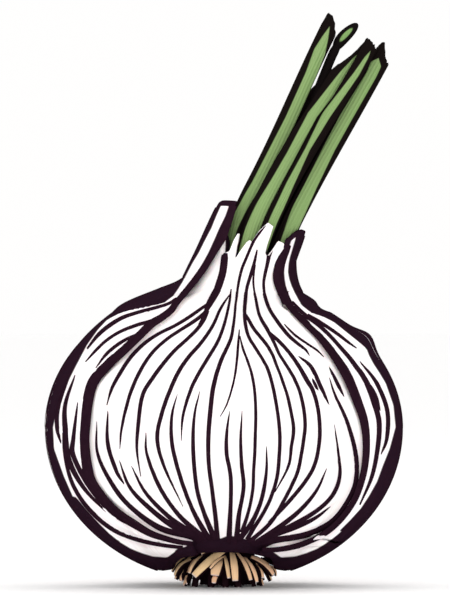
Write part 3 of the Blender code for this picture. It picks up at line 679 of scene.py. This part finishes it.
# The white of the drawn front: (height, left, right). What shows outside it is painted dark, as painted
# shade along the outline where the sides turn away, and 100 is beyond any edge.
LEFT_WHITE = (
    (9, -100, 100), (10, -22, 100), (12.3, -24.5, 100), (15, -27, 100), (20, -29.2, 100),
    (25, -31, 100), (29, -31.2, 100), (33, -30.3, 100), (37, -28.6, 100), (40, -27.1, 100),
    (44, -25, 100), (46.8, -23, 100), (48.6, -21.3, 100), (49.8, -19, 100), (50.4, -17, 100),
    (51, -14, 100), (51.6, -11, 100), (52, -10.5, -9.3), (52.9, -9.3, -8.4), (53.7, -8.7, -7.6),
    (55.4, -7.6, -6.3), (57.3, -6.6, -4.9), (59, -5.7, -3.9), (60.8, -4.6, -2.9), (63, -3.5, -1.9),
    (65.3, -2.3, -0.9), (67.5, -1.4, 0.2), (69.5, -0.5, 0.9), (69.7, 3, -3),
)

# The veins of the side and back: their azimuths, width, lowest and highest climb.
LEFT_SIDES = (
    ((-82.5, -87.6, -92.7), 2.2, 0.13, 0.97),
    ((-97.6,), 1.8, 0.13, 0.97),
    ((-104, -110, -116, -122, -128, -134, -140, -146, -152), 1.1, 0.15, 0.97),
    ((-90, -103, -116), 2.3, 0.96, 1.95),
)


def sheath_surface(front, back, lift_curve, top, curl, hug):
    """A function like bulb_surface for a wrapper leaf between its front and back edges. Its front
    edge hugs the bulb, and each curl is a small hump (azimuth, climb, height, spread)."""

    def surface(azimuth, climb, lift):
        climb = even_climb(climb)
        left, right = (np.radians(curve_value(edge, climb)) for edge in (front, back))
        share = np.clip((azimuth - left) / (right - left), 0, 1)
        lift = lift + curve_value(lift_curve, climb) - hug * (1 - smoothstep(0.0, 0.14, share))
        for place, height, size, spread in curl:
            away = (azimuth - math.radians(place)) / math.radians(spread[0])
            lift = lift + size * np.exp(-(away**2) - ((climb - height) / spread[1]) ** 2)
        return skin_point(azimuth, climb, lift, np.interp(np.degrees(azimuth), *zip(*top)))

    return surface


def white_gap(points, white):
    """How far outside the white of the drawn front each point shows."""
    x, z = np.moveaxis(seen(points), -1, 0)
    heights, left, right = zip(*white)
    return np.maximum(np.interp(z, heights, left) - x, x - np.interp(z, heights, right))


def round_columns(outer, inner, step):
    """The columns of a shell's outer face, some of its inner face's backwards, and the first again."""
    return np.concatenate((outer, inner[:, ::-step], outer[:, :1]), axis=1)


def ends_twice(table):
    """A table with its first and last row doubled, to close the two ends of a shell."""
    return np.concatenate((table[:1], table, table[-1:]))


def add_sheath(name, node_name, surface, back, top, edge, veins, folds, sides, white, seed):
    """One wrapper leaf with its veins, its dark front edge, partly painted shadow, its outline
    painted dark as shade, and its thickness.
    """
    sign = -1 if back[0][1] < 0 else 1
    # The bold band along the front edge: the dark torn edge and painted shadow beside it.
    edge_band = drawn_band(surface, edge, sign * (ACROSS + 0.8) / 1.8)
    spots = edge_band[0][:, 0] * 0.1 + edge_band[0][:, 1] * 0.9
    order = np.argsort(spots[:, 1])
    lines = front_lines(surface, veins) + folded(surface, folds)
    for turns, width, lowest, highest in sides:
        if width > 1.5:
            lines += bold_lines(surface, turns, lowest, highest, width)
        else:
            lines += rule_lines(surface, seed, turns, lowest, highest, width)
    lines.append(edge_band)
    share = np.linspace(0, 1, 150)[None, :]
    start = 0.12 + 0.075 * np.exp(-((share / 0.16) ** 2))
    body = start + np.linspace(0, 1, 120)[:, None] * (1 - start)
    climb = np.concatenate((body, np.linspace(1, NEAR_END, 45)[1:, None] + 0 * share))
    front_azimuth = np.interp(climb, spots[order, 1], spots[order, 0])
    back_azimuth = np.radians(curve_value(back, even_climb(climb)))
    azimuth = front_azimuth + share * (back_azimuth - front_azimuth)
    gap = gap_to_veins(surface, lines, surface(azimuth, climb, 0.0))
    puff = SHEATH_PUFF * (1 - np.exp(-((gap / 1.1) ** 1.5))) * (1 - 0.5 * smoothstep(0.9, 1.2, climb))
    thin = np.minimum(np.sin(math.pi * share) * 12, 1) ** 0.5
    outside = surface(azimuth, climb, puff * thin)
    inside = surface(azimuth, climb, -SHEATH_THICKNESS * thin)
    loop = round_columns(outside, inside, INNER_STEP)
    gaps = ends_twice(round_columns(gap, 0 * gap + 2, INNER_STEP))
    turns = ends_twice(round_columns(azimuth, azimuth, INNER_STEP))
    up = ends_twice(round_columns(climb, climb, INNER_STEP))
    low_end, high_end = (surface(turns[r], up[r], -SHEATH_THICKNESS / 2)[None] for r in (0, -1))
    loop = np.concatenate((low_end, loop, high_end))
    outer = np.arange(loop.shape[1]) < outside.shape[1]
    # Painted shade: the outer face is painted dark where it shows outside the drawn white along its
    # outline, but only nearer the front than the flank angle.
    flank = np.where(up > 0.97, 95, 95 - 15 * smoothstep(8, 24, loop[..., 2]))
    ink = np.minimum(white_gap(loop, white), 0.5 * (flank - np.abs(np.degrees(turns))))
    ink = np.maximum(ink, 1.0 - (2 - up) * (np.interp(np.degrees(turns), *zip(*top)) - NECK_ROOT))
    # The inner face is painted full dark on the neck, as painted shade in the gap under the leaf; lower
    # down it stays light.
    ink = np.where(outer[None, :], ink, np.where(up > 0.9, 1.0, -1.0))
    ink = np.maximum(ink, base_ink(loop, turns))
    shape = bmesh.new()
    fibre = fibre_places(turns * BULB_RADIUS, up * FIBRE_RUN)
    add_grid(shape, loop, 0, gap=gaps, ink=ink, fibre=fibre)
    bmesh.ops.recalc_face_normals(shape, faces=shape.faces[:])
    add_veins(shape, surface, lines, 0.04)
    add_piece(name, shape, node_name, "dry_sheath", dry_sheath, vein_and_shadow)


dry_sheath = skin_material("dry sheath", "#fffaf9", "#f1e6e8", "#e8d4da")
left_front = (
    (0.1, -46), (0.5, -52), (0.75, -42), (0.86, -34), (0.95, -48), (1.0, -54), (1.2, -57),
    (1.5, -51), (1.75, -45), (2.0, -42),
)
left_back = ((0.1, -150), (0.5, -163), (0.86, -160), (1.0, -140), (2.0, -118))
left_lift = (
    (0.7, OUTLINE_LIFT), (0.83, 1.8), (0.9, 2.0), (1.0, 1.9), (1.2, 1.9), (1.5, 1.6), (2.0, 1.1),
)
left_top = ((-118, 64.0), (-100, 65.4), (-90, 66.1), (-71, 67.0), (-47, 67.8), (-42, 68.0))
left_surface = sheath_surface(left_front, left_back, left_lift, left_top, (), 0.5)
add_sheath(
    "left_wrapper_leaf", "outer_sheath_left", left_surface, left_back, left_top, LEFT_EDGE,
    LEFT_VEINS, LEFT_FOLDS, LEFT_SIDES, LEFT_WHITE, 21,
)

# RIGHT OUTER SHEATH
# The real piece is the next wrapper leaf, of the same dry skin. It clasps the right side, ends in a
# point on the neck and has a small torn curl that lifts off the shoulder.

# The bold dark front edge of this wrapper leaf, its torn edge with painted shadow, from the top down:
# (x, height, width).
RIGHT_EDGE = (
    (10.95, 62.6, 1.6), (10.5, 61.4, 1.7), (10, 60.2, 1.75), (9.6, 59, 1.8), (9.3, 57.8, 1.9),
    (9.15, 56.7, 2.0), (9.3, 55.5, 2.0), (9.65, 54.3, 1.9), (10.2, 53.2, 1.8), (10.8, 52.2, 1.5),
    (11.6, 51, 1.2), (12.4, 50, 1.1), (13.3, 49, 1.1), (14.3, 48, 1.2), (15.6, 46.7, 1.2),
    (17, 45.3, 1.3), (18.2, 43.8, 1.4), (19.3, 42.3, 1.5), (20.3, 40.8, 1.6), (21.2, 39.3, 1.7),
    (22.3, 37.2, 1.7), (23.8, 33.5, 1.6), (25, 30, 1.5), (25.5, 26, 1.3), (25.2, 21.5, 1.2),
    (24.1, 17.3, 1.1), (22.9, 14.8, 1.0), (21, 12.3, 1.0), (18.8, 10.3, 1.0), (16, 8.7, 1.0),
    (13, 7.6, 1.0), (10, 7.0, 0.9), (7, 6.8, 0.8),
)
RIGHT_VEINS = (
    (0.8, ((60, 41), (65, 37), (68, 32), (67, 27), (64, 24))),
    (0.7, ((58, 38), (61, 35), (62.5, 32))),
)
RIGHT_FOLDS = (
    ((12.4, 52, 0.3), (13.6, 50.6, 0.8), (15, 49.3, 0.95), (16.8, 48, 0.95), (18.3, 46.7, 0.9),
     (19.8, 45.2, 0.85), (21.3, 43.5, 0.9), (22.8, 41.8, 1.0), (24, 40.2, 1.1), (25.2, 38.6, 1.2),
     (26.2, 36.8, 1.3), (27.4, 33.5, 1.3), (28.3, 30, 1.2), (28.1, 25.5, 1.1), (27, 20, 0.9),
     (24.8, 14.8, 0.3)),
    ((15.3, 49.6, 0.4), (17, 48.5, 0.8), (19, 47.2, 0.8), (21, 45.8, 0.75), (22.8, 44.4, 0.6),
     (24.2, 43.4, 0.2)),
    ((25, 40.6, 0.2), (26.5, 39, 0.6), (28, 37, 0.7), (29, 35, 0.4)),
)
RIGHT_WHITE = (
    (9, -100, 100), (10, -100, 21), (12, -100, 23), (14.2, -100, 25), (16.5, -100, 26.5),
    (19, -100, 27.9), (22, -100, 29), (25, -100, 30.2), (29, -100, 31.3), (33, -100, 30.9),
    (37, -100, 29.5), (39, -100, 28.3), (40.5, -100, 27.3), (42, -100, 26.5), (43.3, -100, 26),
    (44.2, -100, 25), (45.4, -100, 23.5), (46.6, -100, 22), (48.2, -100, 20), (49.2, -100, 18),
    (49.8, 14, 16), (51.2, 12.7, 14.2), (52.2, 12.2, 13.6), (53.5, 11.7, 12.9),
    (54.8, 11.3, 12.3), (56, 11.1, 11.9), (57.3, 11, 11.65), (58.7, 11.1, 11.75),
    (60, 11.3, 12), (61.3, 11.7, 12.4), (63, 12.3, 12.9), (64.5, 13.1, 13.3), (64.7, 14, 12),
)
RIGHT_SIDES = (
    ((82.5, 87.6, 92.7), 2.2, 0.13, 0.97),
    ((97.6,), 1.8, 0.13, 0.97),
    ((104, 110, 116, 122, 128, 134, 140), 1.1, 0.15, 0.97),
    ((85, 102), 2.3, 0.96, 1.93),
)
right_front = (
    (0.1, 46), (0.35, 57), (0.5, 53), (0.75, 45), (0.86, 43), (0.95, 40), (1.0, 35), (1.1, 29),
    (1.4, 28), (1.7, 32), (2.0, 37),
)
right_back = ((0.1, 140), (0.5, 152), (0.86, 150), (1.0, 135), (2.0, 104))
right_lift = ((0.8, OUTLINE_LIFT), (1.1, 1.2), (1.5, 0.8), (2.0, 0.0))
right_curl = ((86, 0.71, 1.3, (9, 0.028)),)
right_top = ((36, 63.6), (40, 64.2), (45, 65.2), (52, 66.6), (60, 67.4), (75, 67.9), (90, 67.7),
             (104, 66.0))
right_surface = sheath_surface(right_front, right_back, right_lift, right_top, right_curl, 0.5)
add_sheath(
    "right_wrapper_leaf", "outer_sheath_right", right_surface, right_back, right_top, RIGHT_EDGE,
    RIGHT_VEINS, RIGHT_FOLDS, RIGHT_SIDES, RIGHT_WHITE, 22,
)

# GREEN LEAVES
# The real pieces are the green leaf blades that rise out of the neck: channels with their keel
# turned outwards, ribbed along their length, painted near black on their flanks as dark margins and
# painted shade between the leaves, and cut and torn at the top.

LEAF_THICKNESS = 0.7
LEAF_FOOT = SOCKET_FLOOR + 0.5
HALF_ARC = math.radians(100)
LEAF_COLUMNS = 64
LEAF_ROWS = 150
NO_TABLE = ((54.0, 0.0, 0.0), (110.0, 0.0, 0.0))

# name: place, keel, radius, top and flare, then the end as (side, height) points, then the green of
# the drawn front as (height, left, right) across the stem, and the green of the rest as spans of
# turn in degrees.
LEAVES = {
    "leaf_left": (
        -86, -52, 2.0, 101.4, (-1.2, 0.0),
        ((-1, 95.5), (-0.6, 96.8), (-0.38, 98.6), (-0.18, 101.0), (0, 101.35), (0.2, 101.2),
         (0.42, 100.8), (0.6, 100.2), (0.8, 99.3), (1, 98.4)),
        ((54, -6.3, -4.5), (60, -6.3, -4.4), (63.5, -6.2, -4.5), (67.4, -5.7, -4.06),
         (71.2, -5.4, -3.56), (83, -5.4, -3.33), (91, -5.87, -3.85), (95, -6.45, -4.3),
         (97.5, -6.2, -5.1), (99.4, -5.85, -5.85), (102, -4.8, -6.9)),
        ((-144, -103),),
    ),
    "leaf_front_left": (
        -25, -10, 1.8, 99.4, (1.9, 1.0),
        ((-1, 93.0), (-0.8, 93.0), (-0.5, 93.8), (-0.2, 94.9), (0, 96.2), (0.1, 96.8), (0.4, 98.6),
         (0.7, 99.9), (1, 100.2)),
        ((54, -3.1, 0.1), (64.4, -3.1, 0.1), (68.5, -2.9, -0.19), (72.8, -2.5, -0.28),
         (78, -2.2, -0.5), (85.3, -2.12, -0.39), (93.3, -0.4, 1.3), (96.5, 0.6, 1.0),
         (97.2, 0.93, 0.93), (101, 3.0, -1.0)),
        (),
    ),
    "leaf_front": (
        10, 8, 1.42, 100.2, (1.5, -0.3),
        ((-1, 100.1), (-0.5, 100.3), (0, 100.1), (0.3, 99.7), (0.6, 99.3), (1, 99.0)),
        ((54, 0.4, 1.9), (69.6, 0.39, 1.9), (73.7, 0.23, 1.6), (80, 0.4, 1.23),
         (86.2, 0.21, 1.74), (94.4, 1.93, 2.95), (97.5, 2.4, 3.0), (98.7, 2.79, 2.79),
         (101, 4.0, 1.5)),
        (),
    ),
    "leaf_right": (
        72, 44, 2.0, 101.2, (0.9, 0.2),
        ((-1, 99.8), (-0.8, 100.8), (-0.65, 101.0), (-0.5, 100.4), (-0.35, 99.7), (-0.2, 99.1),
         (0, 98.7), (0.2, 98.4), (0.46, 98.2), (0.7, 97.3), (1, 97.6)),
        ((54, 3.9, 5.9), (66.2, 3.68, 5.95), (70.8, 3.24, 5.8), (75.2, 3.28, 5.5),
         (81.8, 3.2, 5.3), (87.6, 3.26, 5.5), (95.4, 3.96, 5.89), (97.4, 3.8, 5.8),
         (98.4, 4.7, 4.7), (101, 6.5, 3.0)),
        ((103, 136),),
    ),
    "leaf_back_right": (
        139, 140, 2.0, 97.0, (0.5, 0.6),
        ((-1, 96.0), (-0.5, 97.4), (-0.2, 98.3), (0.1, 98.0), (0.3, 98.4), (0.6, 97.0), (1, 95.5)),
        NO_TABLE, ((66, 112), (121, 160), (169, 222)),
    ),
    "leaf_back_left": (
        200, 205, 2.05, 90.5, (-0.3, 0.8),
        ((-1, 88.0), (-0.4, 89.2), (0, 90.2), (0.2, 90.5), (0.4, 89.6), (0.7, 88.6), (1, 86.4)),
        NO_TABLE, ((122, 172), (181, 222), (231, 285)),
    ),
}

# Fresh leaf blade: matt, finely ribbed along its length and faintly clouded, near black where the mesh
# marks its dark margins and the painted shade between the leaves.
leaf_green, leaf_shader = start_material("green leaf", 0.6, 0.0)
ribs = fibre_grain(leaf_green, 3.2, 0.04, 3.0)
rib_share = node(leaf_green, "MapRange", ((0, ribs), (1, 0.35), (2, 0.65)))
cloud = fibre_grain(leaf_green, 0.25, 0.06, 2.0)
cloud_share = node(leaf_green, "MapRange", ((0, cloud), (1, 0.3), (2, 0.7)))
paint(
    leaf_green, leaf_shader, "#76945a", (rib_share.outputs[0], "#849d68"),
    (cloud_share.outputs[0], "#7b935f"), (ink_share(leaf_green, 0.08), "#15100f"),
)
emboss(leaf_green, leaf_shader, ribs, 0.4, 0.00015)

share = np.linspace(0, 1, LEAF_COLUMNS + 1)[None, :]
rise = np.linspace(0, 1, LEAF_ROWS + 1)[:, None]
side = 2 * share - 1
ribbing = 0.05 * np.cos(side * 100 / 9 * math.pi) * smoothstep(0.0, 0.2, rise)
thin = np.minimum((1 - np.abs(side)) * 8, 1.0) ** 0.5 * np.minimum((1 - rise) * 60, 1.0) ** 0.5
for name, (spot, keel, radius, top, flare, end_points, table, spans) in LEAVES.items():
    draw = np.random.default_rng(len(name))
    ragged = np.convolve(draw.uniform(-1, 1, LEAF_COLUMNS + 5), (0.25, 0.5, 0.5, 0.5, 0.25), "valid")
    end = curve_value(end_points, side) + 0.18 * ragged[None, :]
    height = LEAF_FOOT + rise * (end - LEAF_FOOT)
    loose = smoothstep(72.0, top, height)
    from_middle = BUNDLE_RADIUS - radius
    centre_across = from_middle * math.sin(math.radians(spot)) * squeeze(height) + flare[0] * loose
    centre_depth = -from_middle * math.cos(math.radians(spot)) * squeeze(height) + flare[1] * loose
    turn = math.radians(keel) + side * HALF_ARC
    full = radius * squeeze(height) * (1 - 0.04 * loose)
    faces = []
    for inset in (0.05 + (LEAF_THICKNESS - 0.05) * thin, 0.05 - ribbing):
        across = centre_across + (full - inset) * np.sin(turn)
        faces.append(stem_point(height, across, centre_depth - (full - inset) * np.cos(turn)))
    # Outside its green each leaf is painted near black: its dark margins, painted shade between the
    # leaves and a dark cut end.
    low, left, right = np.array(table).T
    drawn_ink = np.maximum(np.interp(height, low, left) - across,
                           across - np.interp(height, low, right))
    turns = np.degrees(turn) + 0 * height
    rest_ink = np.full(height.shape, 0.4)
    for start, stop in spans:
        zone = np.maximum(start - turns, turns - stop) * math.radians(1) * radius
        rest_ink = np.minimum(rest_ink, zone)
    rest_ink = np.maximum(rest_ink, height - (end - 1.3))
    ink = np.where((np.abs(turns) < 99) & (table is not NO_TABLE), drawn_ink, rest_ink)
    sides, ups = (round_columns(v, v, 2) for v in (turns, height))
    shape = bmesh.new()
    add_grid(shape, round_columns(faces[1], faces[0], 2), 0,
             ink=round_columns(ink, 0.5 + 0 * height, 2),
             fibre=fibre_places(np.radians(sides) * radius, ups))
    bmesh.ops.recalc_face_normals(shape, faces=shape.faces[:])
    add_piece("green_" + name, shape, name, "green_leaf", leaf_green)

# YOUNG SHOOT
# The real piece is the thin shoot in the middle of the leaves. Its stalk is dark and its oval end
# shows a little fresh green.

SHOOT_PATH = ((75, -1.2), (85, -1.9), (92, -2.7), (97.5, -3.0), (102, -1.7))
SHOOT_TOP = 102.0
STALK_RADIUS = 0.85
END_RADIUS = 1.2
END_START = 0.88

# Young shoot: smoother and brighter than a leaf, near black along its stalk.
young_shoot, shoot_shader = start_material("young shoot", 0.6, 0.0)
grain = fibre_grain(young_shoot, 3.0, 0.3, 3.0)
dark = ink_share(young_shoot, 0.06)
paint(young_shoot, shoot_shader, "#6f9152", (grain, "#7fa065"), (dark, "#141010"))

stalk, oval = np.linspace(0, END_START, 60), np.linspace(END_START, 1.0, 50)[1:]
along_shoot = np.concatenate(((0.0,), stalk, oval))[:, None]
height = LEAF_FOOT + along_shoot * (SHOOT_TOP - LEAF_FOOT)
tip = np.clip((along_shoot - END_START) / (1 - END_START), 0, 1)
swell = END_RADIUS * np.sqrt(np.maximum(1 - (2 * tip - 1) ** 2, 0))
wide = np.maximum(swell, STALK_RADIUS * (1 - tip)) * (along_shoot < 1)
wide[0] = 0
turn = np.linspace(0, 2 * math.pi, 33)[None, :]
across = curve_value(SHOOT_PATH, height) + wide * np.sin(turn)
shoot = stem_point(height, across, 0.2 - wide * np.cos(turn))
off_axis = np.abs(half_turn(turn))
front_gap = np.hypot(off_axis * wide / 0.45, (tip - 0.55) / 0.24) - 1
back_gap = np.hypot((math.pi - off_axis) * wide / 0.8, (tip - 0.5) / 0.35) - 1
ink = np.minimum(front_gap, back_gap) * 0.4
shape = bmesh.new()
add_grid(shape, shoot, 0, ink=ink, fibre=fibre_places(turn * END_RADIUS, height))
bmesh.ops.remove_doubles(shape, verts=shape.verts[:], dist=0.001 * MM)
bmesh.ops.recalc_face_normals(shape, faces=shape.faces[:])
add_piece("shoot_stalk", shape, "inner_shoot", "young_shoot", young_shoot)

# ROOT TUFT
# The real piece is the corky basal plate with its dry roots, trimmed short. The roots leave the
# plate outwards, arch down and end in pale cuts. The bulb stands on their level ends.

PLATE_PROFILE = ((0.0, 6.6), (5.0, 6.6), (5.7, 6.0), (5.3, 4.8), (4.3, 2.4), (4.0, 0.3), (0.0, 0.3))

# The roots of the front: x and height where each shows at its top and its end, its width, its
# hue from 0, yellow, to 1, pink, and how far in front of its neighbours it lies.
FRONT_ROOTS = (
    ((-5.3, 6.3), (-9.4, 2.7), 0.6, 0.2, 0.0),
    ((-6.0, 4.9), (-8.8, 2.0), 0.85, 0.3, 0.4),
    ((0.7, 7.9), (-4.2, 6.3), 1.2, 0.4, 0.3),
    ((-3.7, 5.8), (-6.2, 2.6), 0.7, 0.5, 0.5),
    ((1.4, 7.6), (-5.4, 2.1), 1.35, 0.1, 0.9),
    ((0.3, 5.7), (-2.5, 3.6), 0.45, 0.5, 0.9),
    ((-0.7, 4.9), (-1.6, 2.2), 1.75, 0.5, 0.3),
    ((0.1, 5.7), (0.9, 1.8), 0.7, 0.3, 0.6),
    ((1.3, 6.6), (2.0, 1.3), 1.25, 0.45, 0.9),
    ((2.3, 6.3), (4.8, 1.4), 0.8, 0.7, 0.6),
    ((3.6, 5.4), (5.9, 1.0), 0.8, 0.8, 0.8),
    ((5.2, 3.9), (6.9, 1.7), 0.85, 0.8, 0.4),
    ((4.9, 5.4), (8.8, 2.2), 1.1, 0.9, 0.9),
    ((7.6, 3.9), (9.4, 2.0), 0.5, 0.8, 0.3),
    ((-6.6, 2.4), (-7.6, 1.2), 0.6, 0.9, 0.6),
    ((-5.8, 1.6), (-6.7, 0.7), 0.5, 0.9, 0.8),
    ((-1.2, 1.9), (-1.8, 0.9), 0.9, 0.8, 0.8),
)

# The rings of other roots: how many, how far out and how high they end, and their width.
ROOT_RINGS = ((13, 9.4, 1.5, 1.25), (12, 8.3, 0.9, 1.3), (13, 6.9, 0.02, 1.5))

# Dry root: dull tan, furrowed along its length, painted dark on its flanks as shade between the roots,
# and pale where it is cut.
dry_root, root_shader = start_material("dry root", 0.8, 0.0)
grain = fibre_grain(dry_root, 3.5, 0.35, 4.0)
hue = node(dry_root, "Attribute", attribute_name="hue").outputs["Fac"]
grain_share = node(dry_root, "MapRange", ((0, grain), (1, 0.4), (2, 0.75), (3, 0.0), (4, 0.6)))
cut = node(dry_root, "Attribute", attribute_name="cut").outputs["Fac"]
paint(
    dry_root, root_shader, "#ffdca6", (hue, "#ffcaa6"), (grain_share.outputs[0], "#e8c096"),
    (cut, "#e6d3cf"), (ink_share(dry_root, 0.05), "#201117"),
)
emboss(dry_root, root_shader, grain, 0.5, 0.00015)


def add_root(shape, start, bend, end, width, hue, light_half):
    """One root through three points, with a furrowed back and a pale cut end. Its flanks are painted
    dark, as shade between the roots, beyond this angle off the middle of its back."""
    t = np.linspace(0, 1, 25)[:, None]
    line = start * (1 - t) ** 2 + bend * 2 * t * (1 - t) + end * t**2
    run = ends_twice(np.gradient(line, axis=0))
    run = run / np.linalg.norm(run, axis=1, keepdims=True)
    line, t = ends_twice(line), ends_twice(t)
    out = line - np.array((0.0, 0.0, 4.0))
    out = out - run * np.sum(out * run, axis=1, keepdims=True)
    out = out / np.linalg.norm(out, axis=1, keepdims=True)
    side = np.cross(run, out)
    half = width / 2 * (0.35 + 0.65 * np.sin(math.pi * np.clip(0.12 + 0.62 * t, 0, 1)) ** 1.2)
    half[0], half[-1] = 0.0, 0.0
    turn = np.linspace(0, 2 * math.pi, 15)[None, :]
    furrow = 1 + 0.06 * np.cos(5 * turn + 3 * t)
    wide, deep = half * furrow * np.cos(turn), 0.7 * half * furrow * np.sin(turn)
    points = line[:, None] + side[:, None] * wide[..., None] + out[:, None] * deep[..., None]
    points[..., 2] = np.maximum(points[..., 2], 0.02)
    ink = (np.abs(half_turn(turn - math.pi / 2)) - light_half) * np.maximum(half, 0.05)
    cut = np.zeros(ink.shape)
    cut[-2:] = 1.0
    ink[-1] = -0.3
    fibre = fibre_places(turn * width / 2 + 9 * hue, t * np.linalg.norm(end - start))
    add_grid(shape, points, 0, ink=ink, cut=cut, hue=np.full(ink.shape, hue), fibre=fibre)


shape = bmesh.new()
turn = np.linspace(0, 2 * math.pi, 65)[None, :]
wide, high = (np.array(v)[:, None] for v in zip(*PLATE_PROFILE))
plate = np.stack(np.broadcast_arrays(wide * np.sin(turn), -wide * np.cos(turn), high), axis=-1)
flat = np.zeros(plate.shape[:2])
# The basal plate is painted full dark: its dried cork, and painted shade under the bulb.
add_grid(shape, plate, 0, ink=flat + 1, cut=flat, hue=flat + 0.5, fibre=fibre_places(turn * 5, high))
for (x0, z0), (x1, z1), width, hue, forward in FRONT_ROOTS:
    reach = 9.0 + 0.5 * forward
    start = np.array((x0, -math.sqrt(max(6.2**2 - x0**2, 9.0)) - forward, z0))
    end = np.array((x1, -math.sqrt(max(reach**2 - x1**2, 4.0)) - forward, z1))
    bend = (start + end) / 2 * (1.12, 1.12, 1.0) + (0, 0, 0.7)
    add_root(shape, start, bend, end, 1.4 * width, hue, 0.85)
draw = np.random.default_rng(7)
for count, reach, low, width in ROOT_RINGS:
    for i in range(count):
        azimuth = 2 * math.pi * (i + draw.uniform(-0.25, 0.25)) / count
        towards_front = math.cos(azimuth)
        if towards_front > 0.25 and low > 0.5:
            continue
        out = np.array((math.sin(azimuth), -math.cos(azimuth), 0.0))
        start = out * 4.4 + (0, 0, 5.6)
        bend = out * (0.72 * reach + 0.6) + (0, 0, 5.4)
        end = out * (reach + draw.uniform(-0.6, 0.3)) + (0, 0, low + draw.uniform(-0.5, 0.5) * (low > 1))
        thick = width * draw.uniform(0.85, 1.15)
        # Roots that face the front under the bulb are painted dark nearly all round, as painted shade.
        add_root(shape, start, bend, end, thick, draw.uniform(0, 1), 0.1 if towards_front > 0.2 else 1.1)
bmesh.ops.recalc_face_normals(shape, faces=shape.faces[:])
add_piece("trimmed_roots", shape, "root_tuft", "dry_root", dry_root)

# STAGE
# A wide plain white floor under a bright even sky, soft lights and the camera of the picture.

FLOOR_REACH = 9000
PICTURE_HEIGHT = 600
PICTURE_SCALE = 0.18258

shape = bmesh.new()
x = np.linspace(-FLOOR_REACH, FLOOR_REACH, 7)[None, :]
floor = np.stack(np.broadcast_arrays(x, x.T, -0.02), axis=-1)
add_grid(shape, floor)
bmesh.ops.recalc_face_normals(shape, faces=shape.faces[:])
mesh = bpy.data.meshes.new("paper_floor")
shape.to_mesh(mesh)
shape.free()
paper_floor = bpy.data.objects.new("paper_floor", mesh)

# White drawing paper: matt, with a faint mottle.
paper, paper_shader = start_material("white paper", 0.9, 0.1)
place = node(paper, "TexCoord").outputs["Object"]
grain = node(paper, "TexNoise", (("Vector", place), ("Scale", 300.0)))
paint(paper, paper_shader, "#fdfdfd", (grain.outputs[0], "#ffffff"))
mesh.materials.append(paper)
bpy.context.scene.collection.objects.link(paper_floor)

world = bpy.data.worlds.new("soft daylight")
world.use_nodes = True
sky = world.node_tree.nodes["Background"]
sky.inputs["Color"].default_value = (1.0, 0.995, 0.99, 1.0)
sky.inputs["Strength"].default_value = 1.0
bpy.context.scene.world = world

# Each light: its name, place and size in metres, and power in watts.
LIGHTS = (
    ("key light", (-0.5, -0.9, 0.75), 0.9, 1.6),
    ("fill light", (0.7, -0.7, 0.35), 0.9, 0.7),
    ("back light", (0.1, 0.35, 0.9), 0.6, 0.5),
    ("low light", (0.0, -0.8, 0.05), 0.5, 3.5),
)
for name, place, size, power in LIGHTS:
    lamp = bpy.data.lights.new(name, "AREA")
    lamp.size = size
    lamp.energy = power
    light = bpy.data.objects.new(name, lamp)
    light.location = place
    light.rotation_euler = (Vector((0, 0, 0.04)) - Vector(place)).to_track_quat("-Z", "Y").to_euler()
    bpy.context.scene.collection.objects.link(light)

lens = bpy.data.cameras.new("camera")
lens.lens = lens.sensor_width * VIEW_DISTANCE / (PICTURE_HEIGHT * PICTURE_SCALE)
lens.clip_end = 10.0
camera = bpy.data.objects.new("camera", lens)
camera.location = (VIEW_MIDDLE[0] * MM, -VIEW_DISTANCE * MM, VIEW_MIDDLE[1] * MM)
camera.rotation_euler = (math.radians(90), 0, 0)
bpy.context.scene.collection.objects.link(camera)
bpy.context.scene.camera = camera
bpy.context.scene.view_settings.view_transform = "Standard"
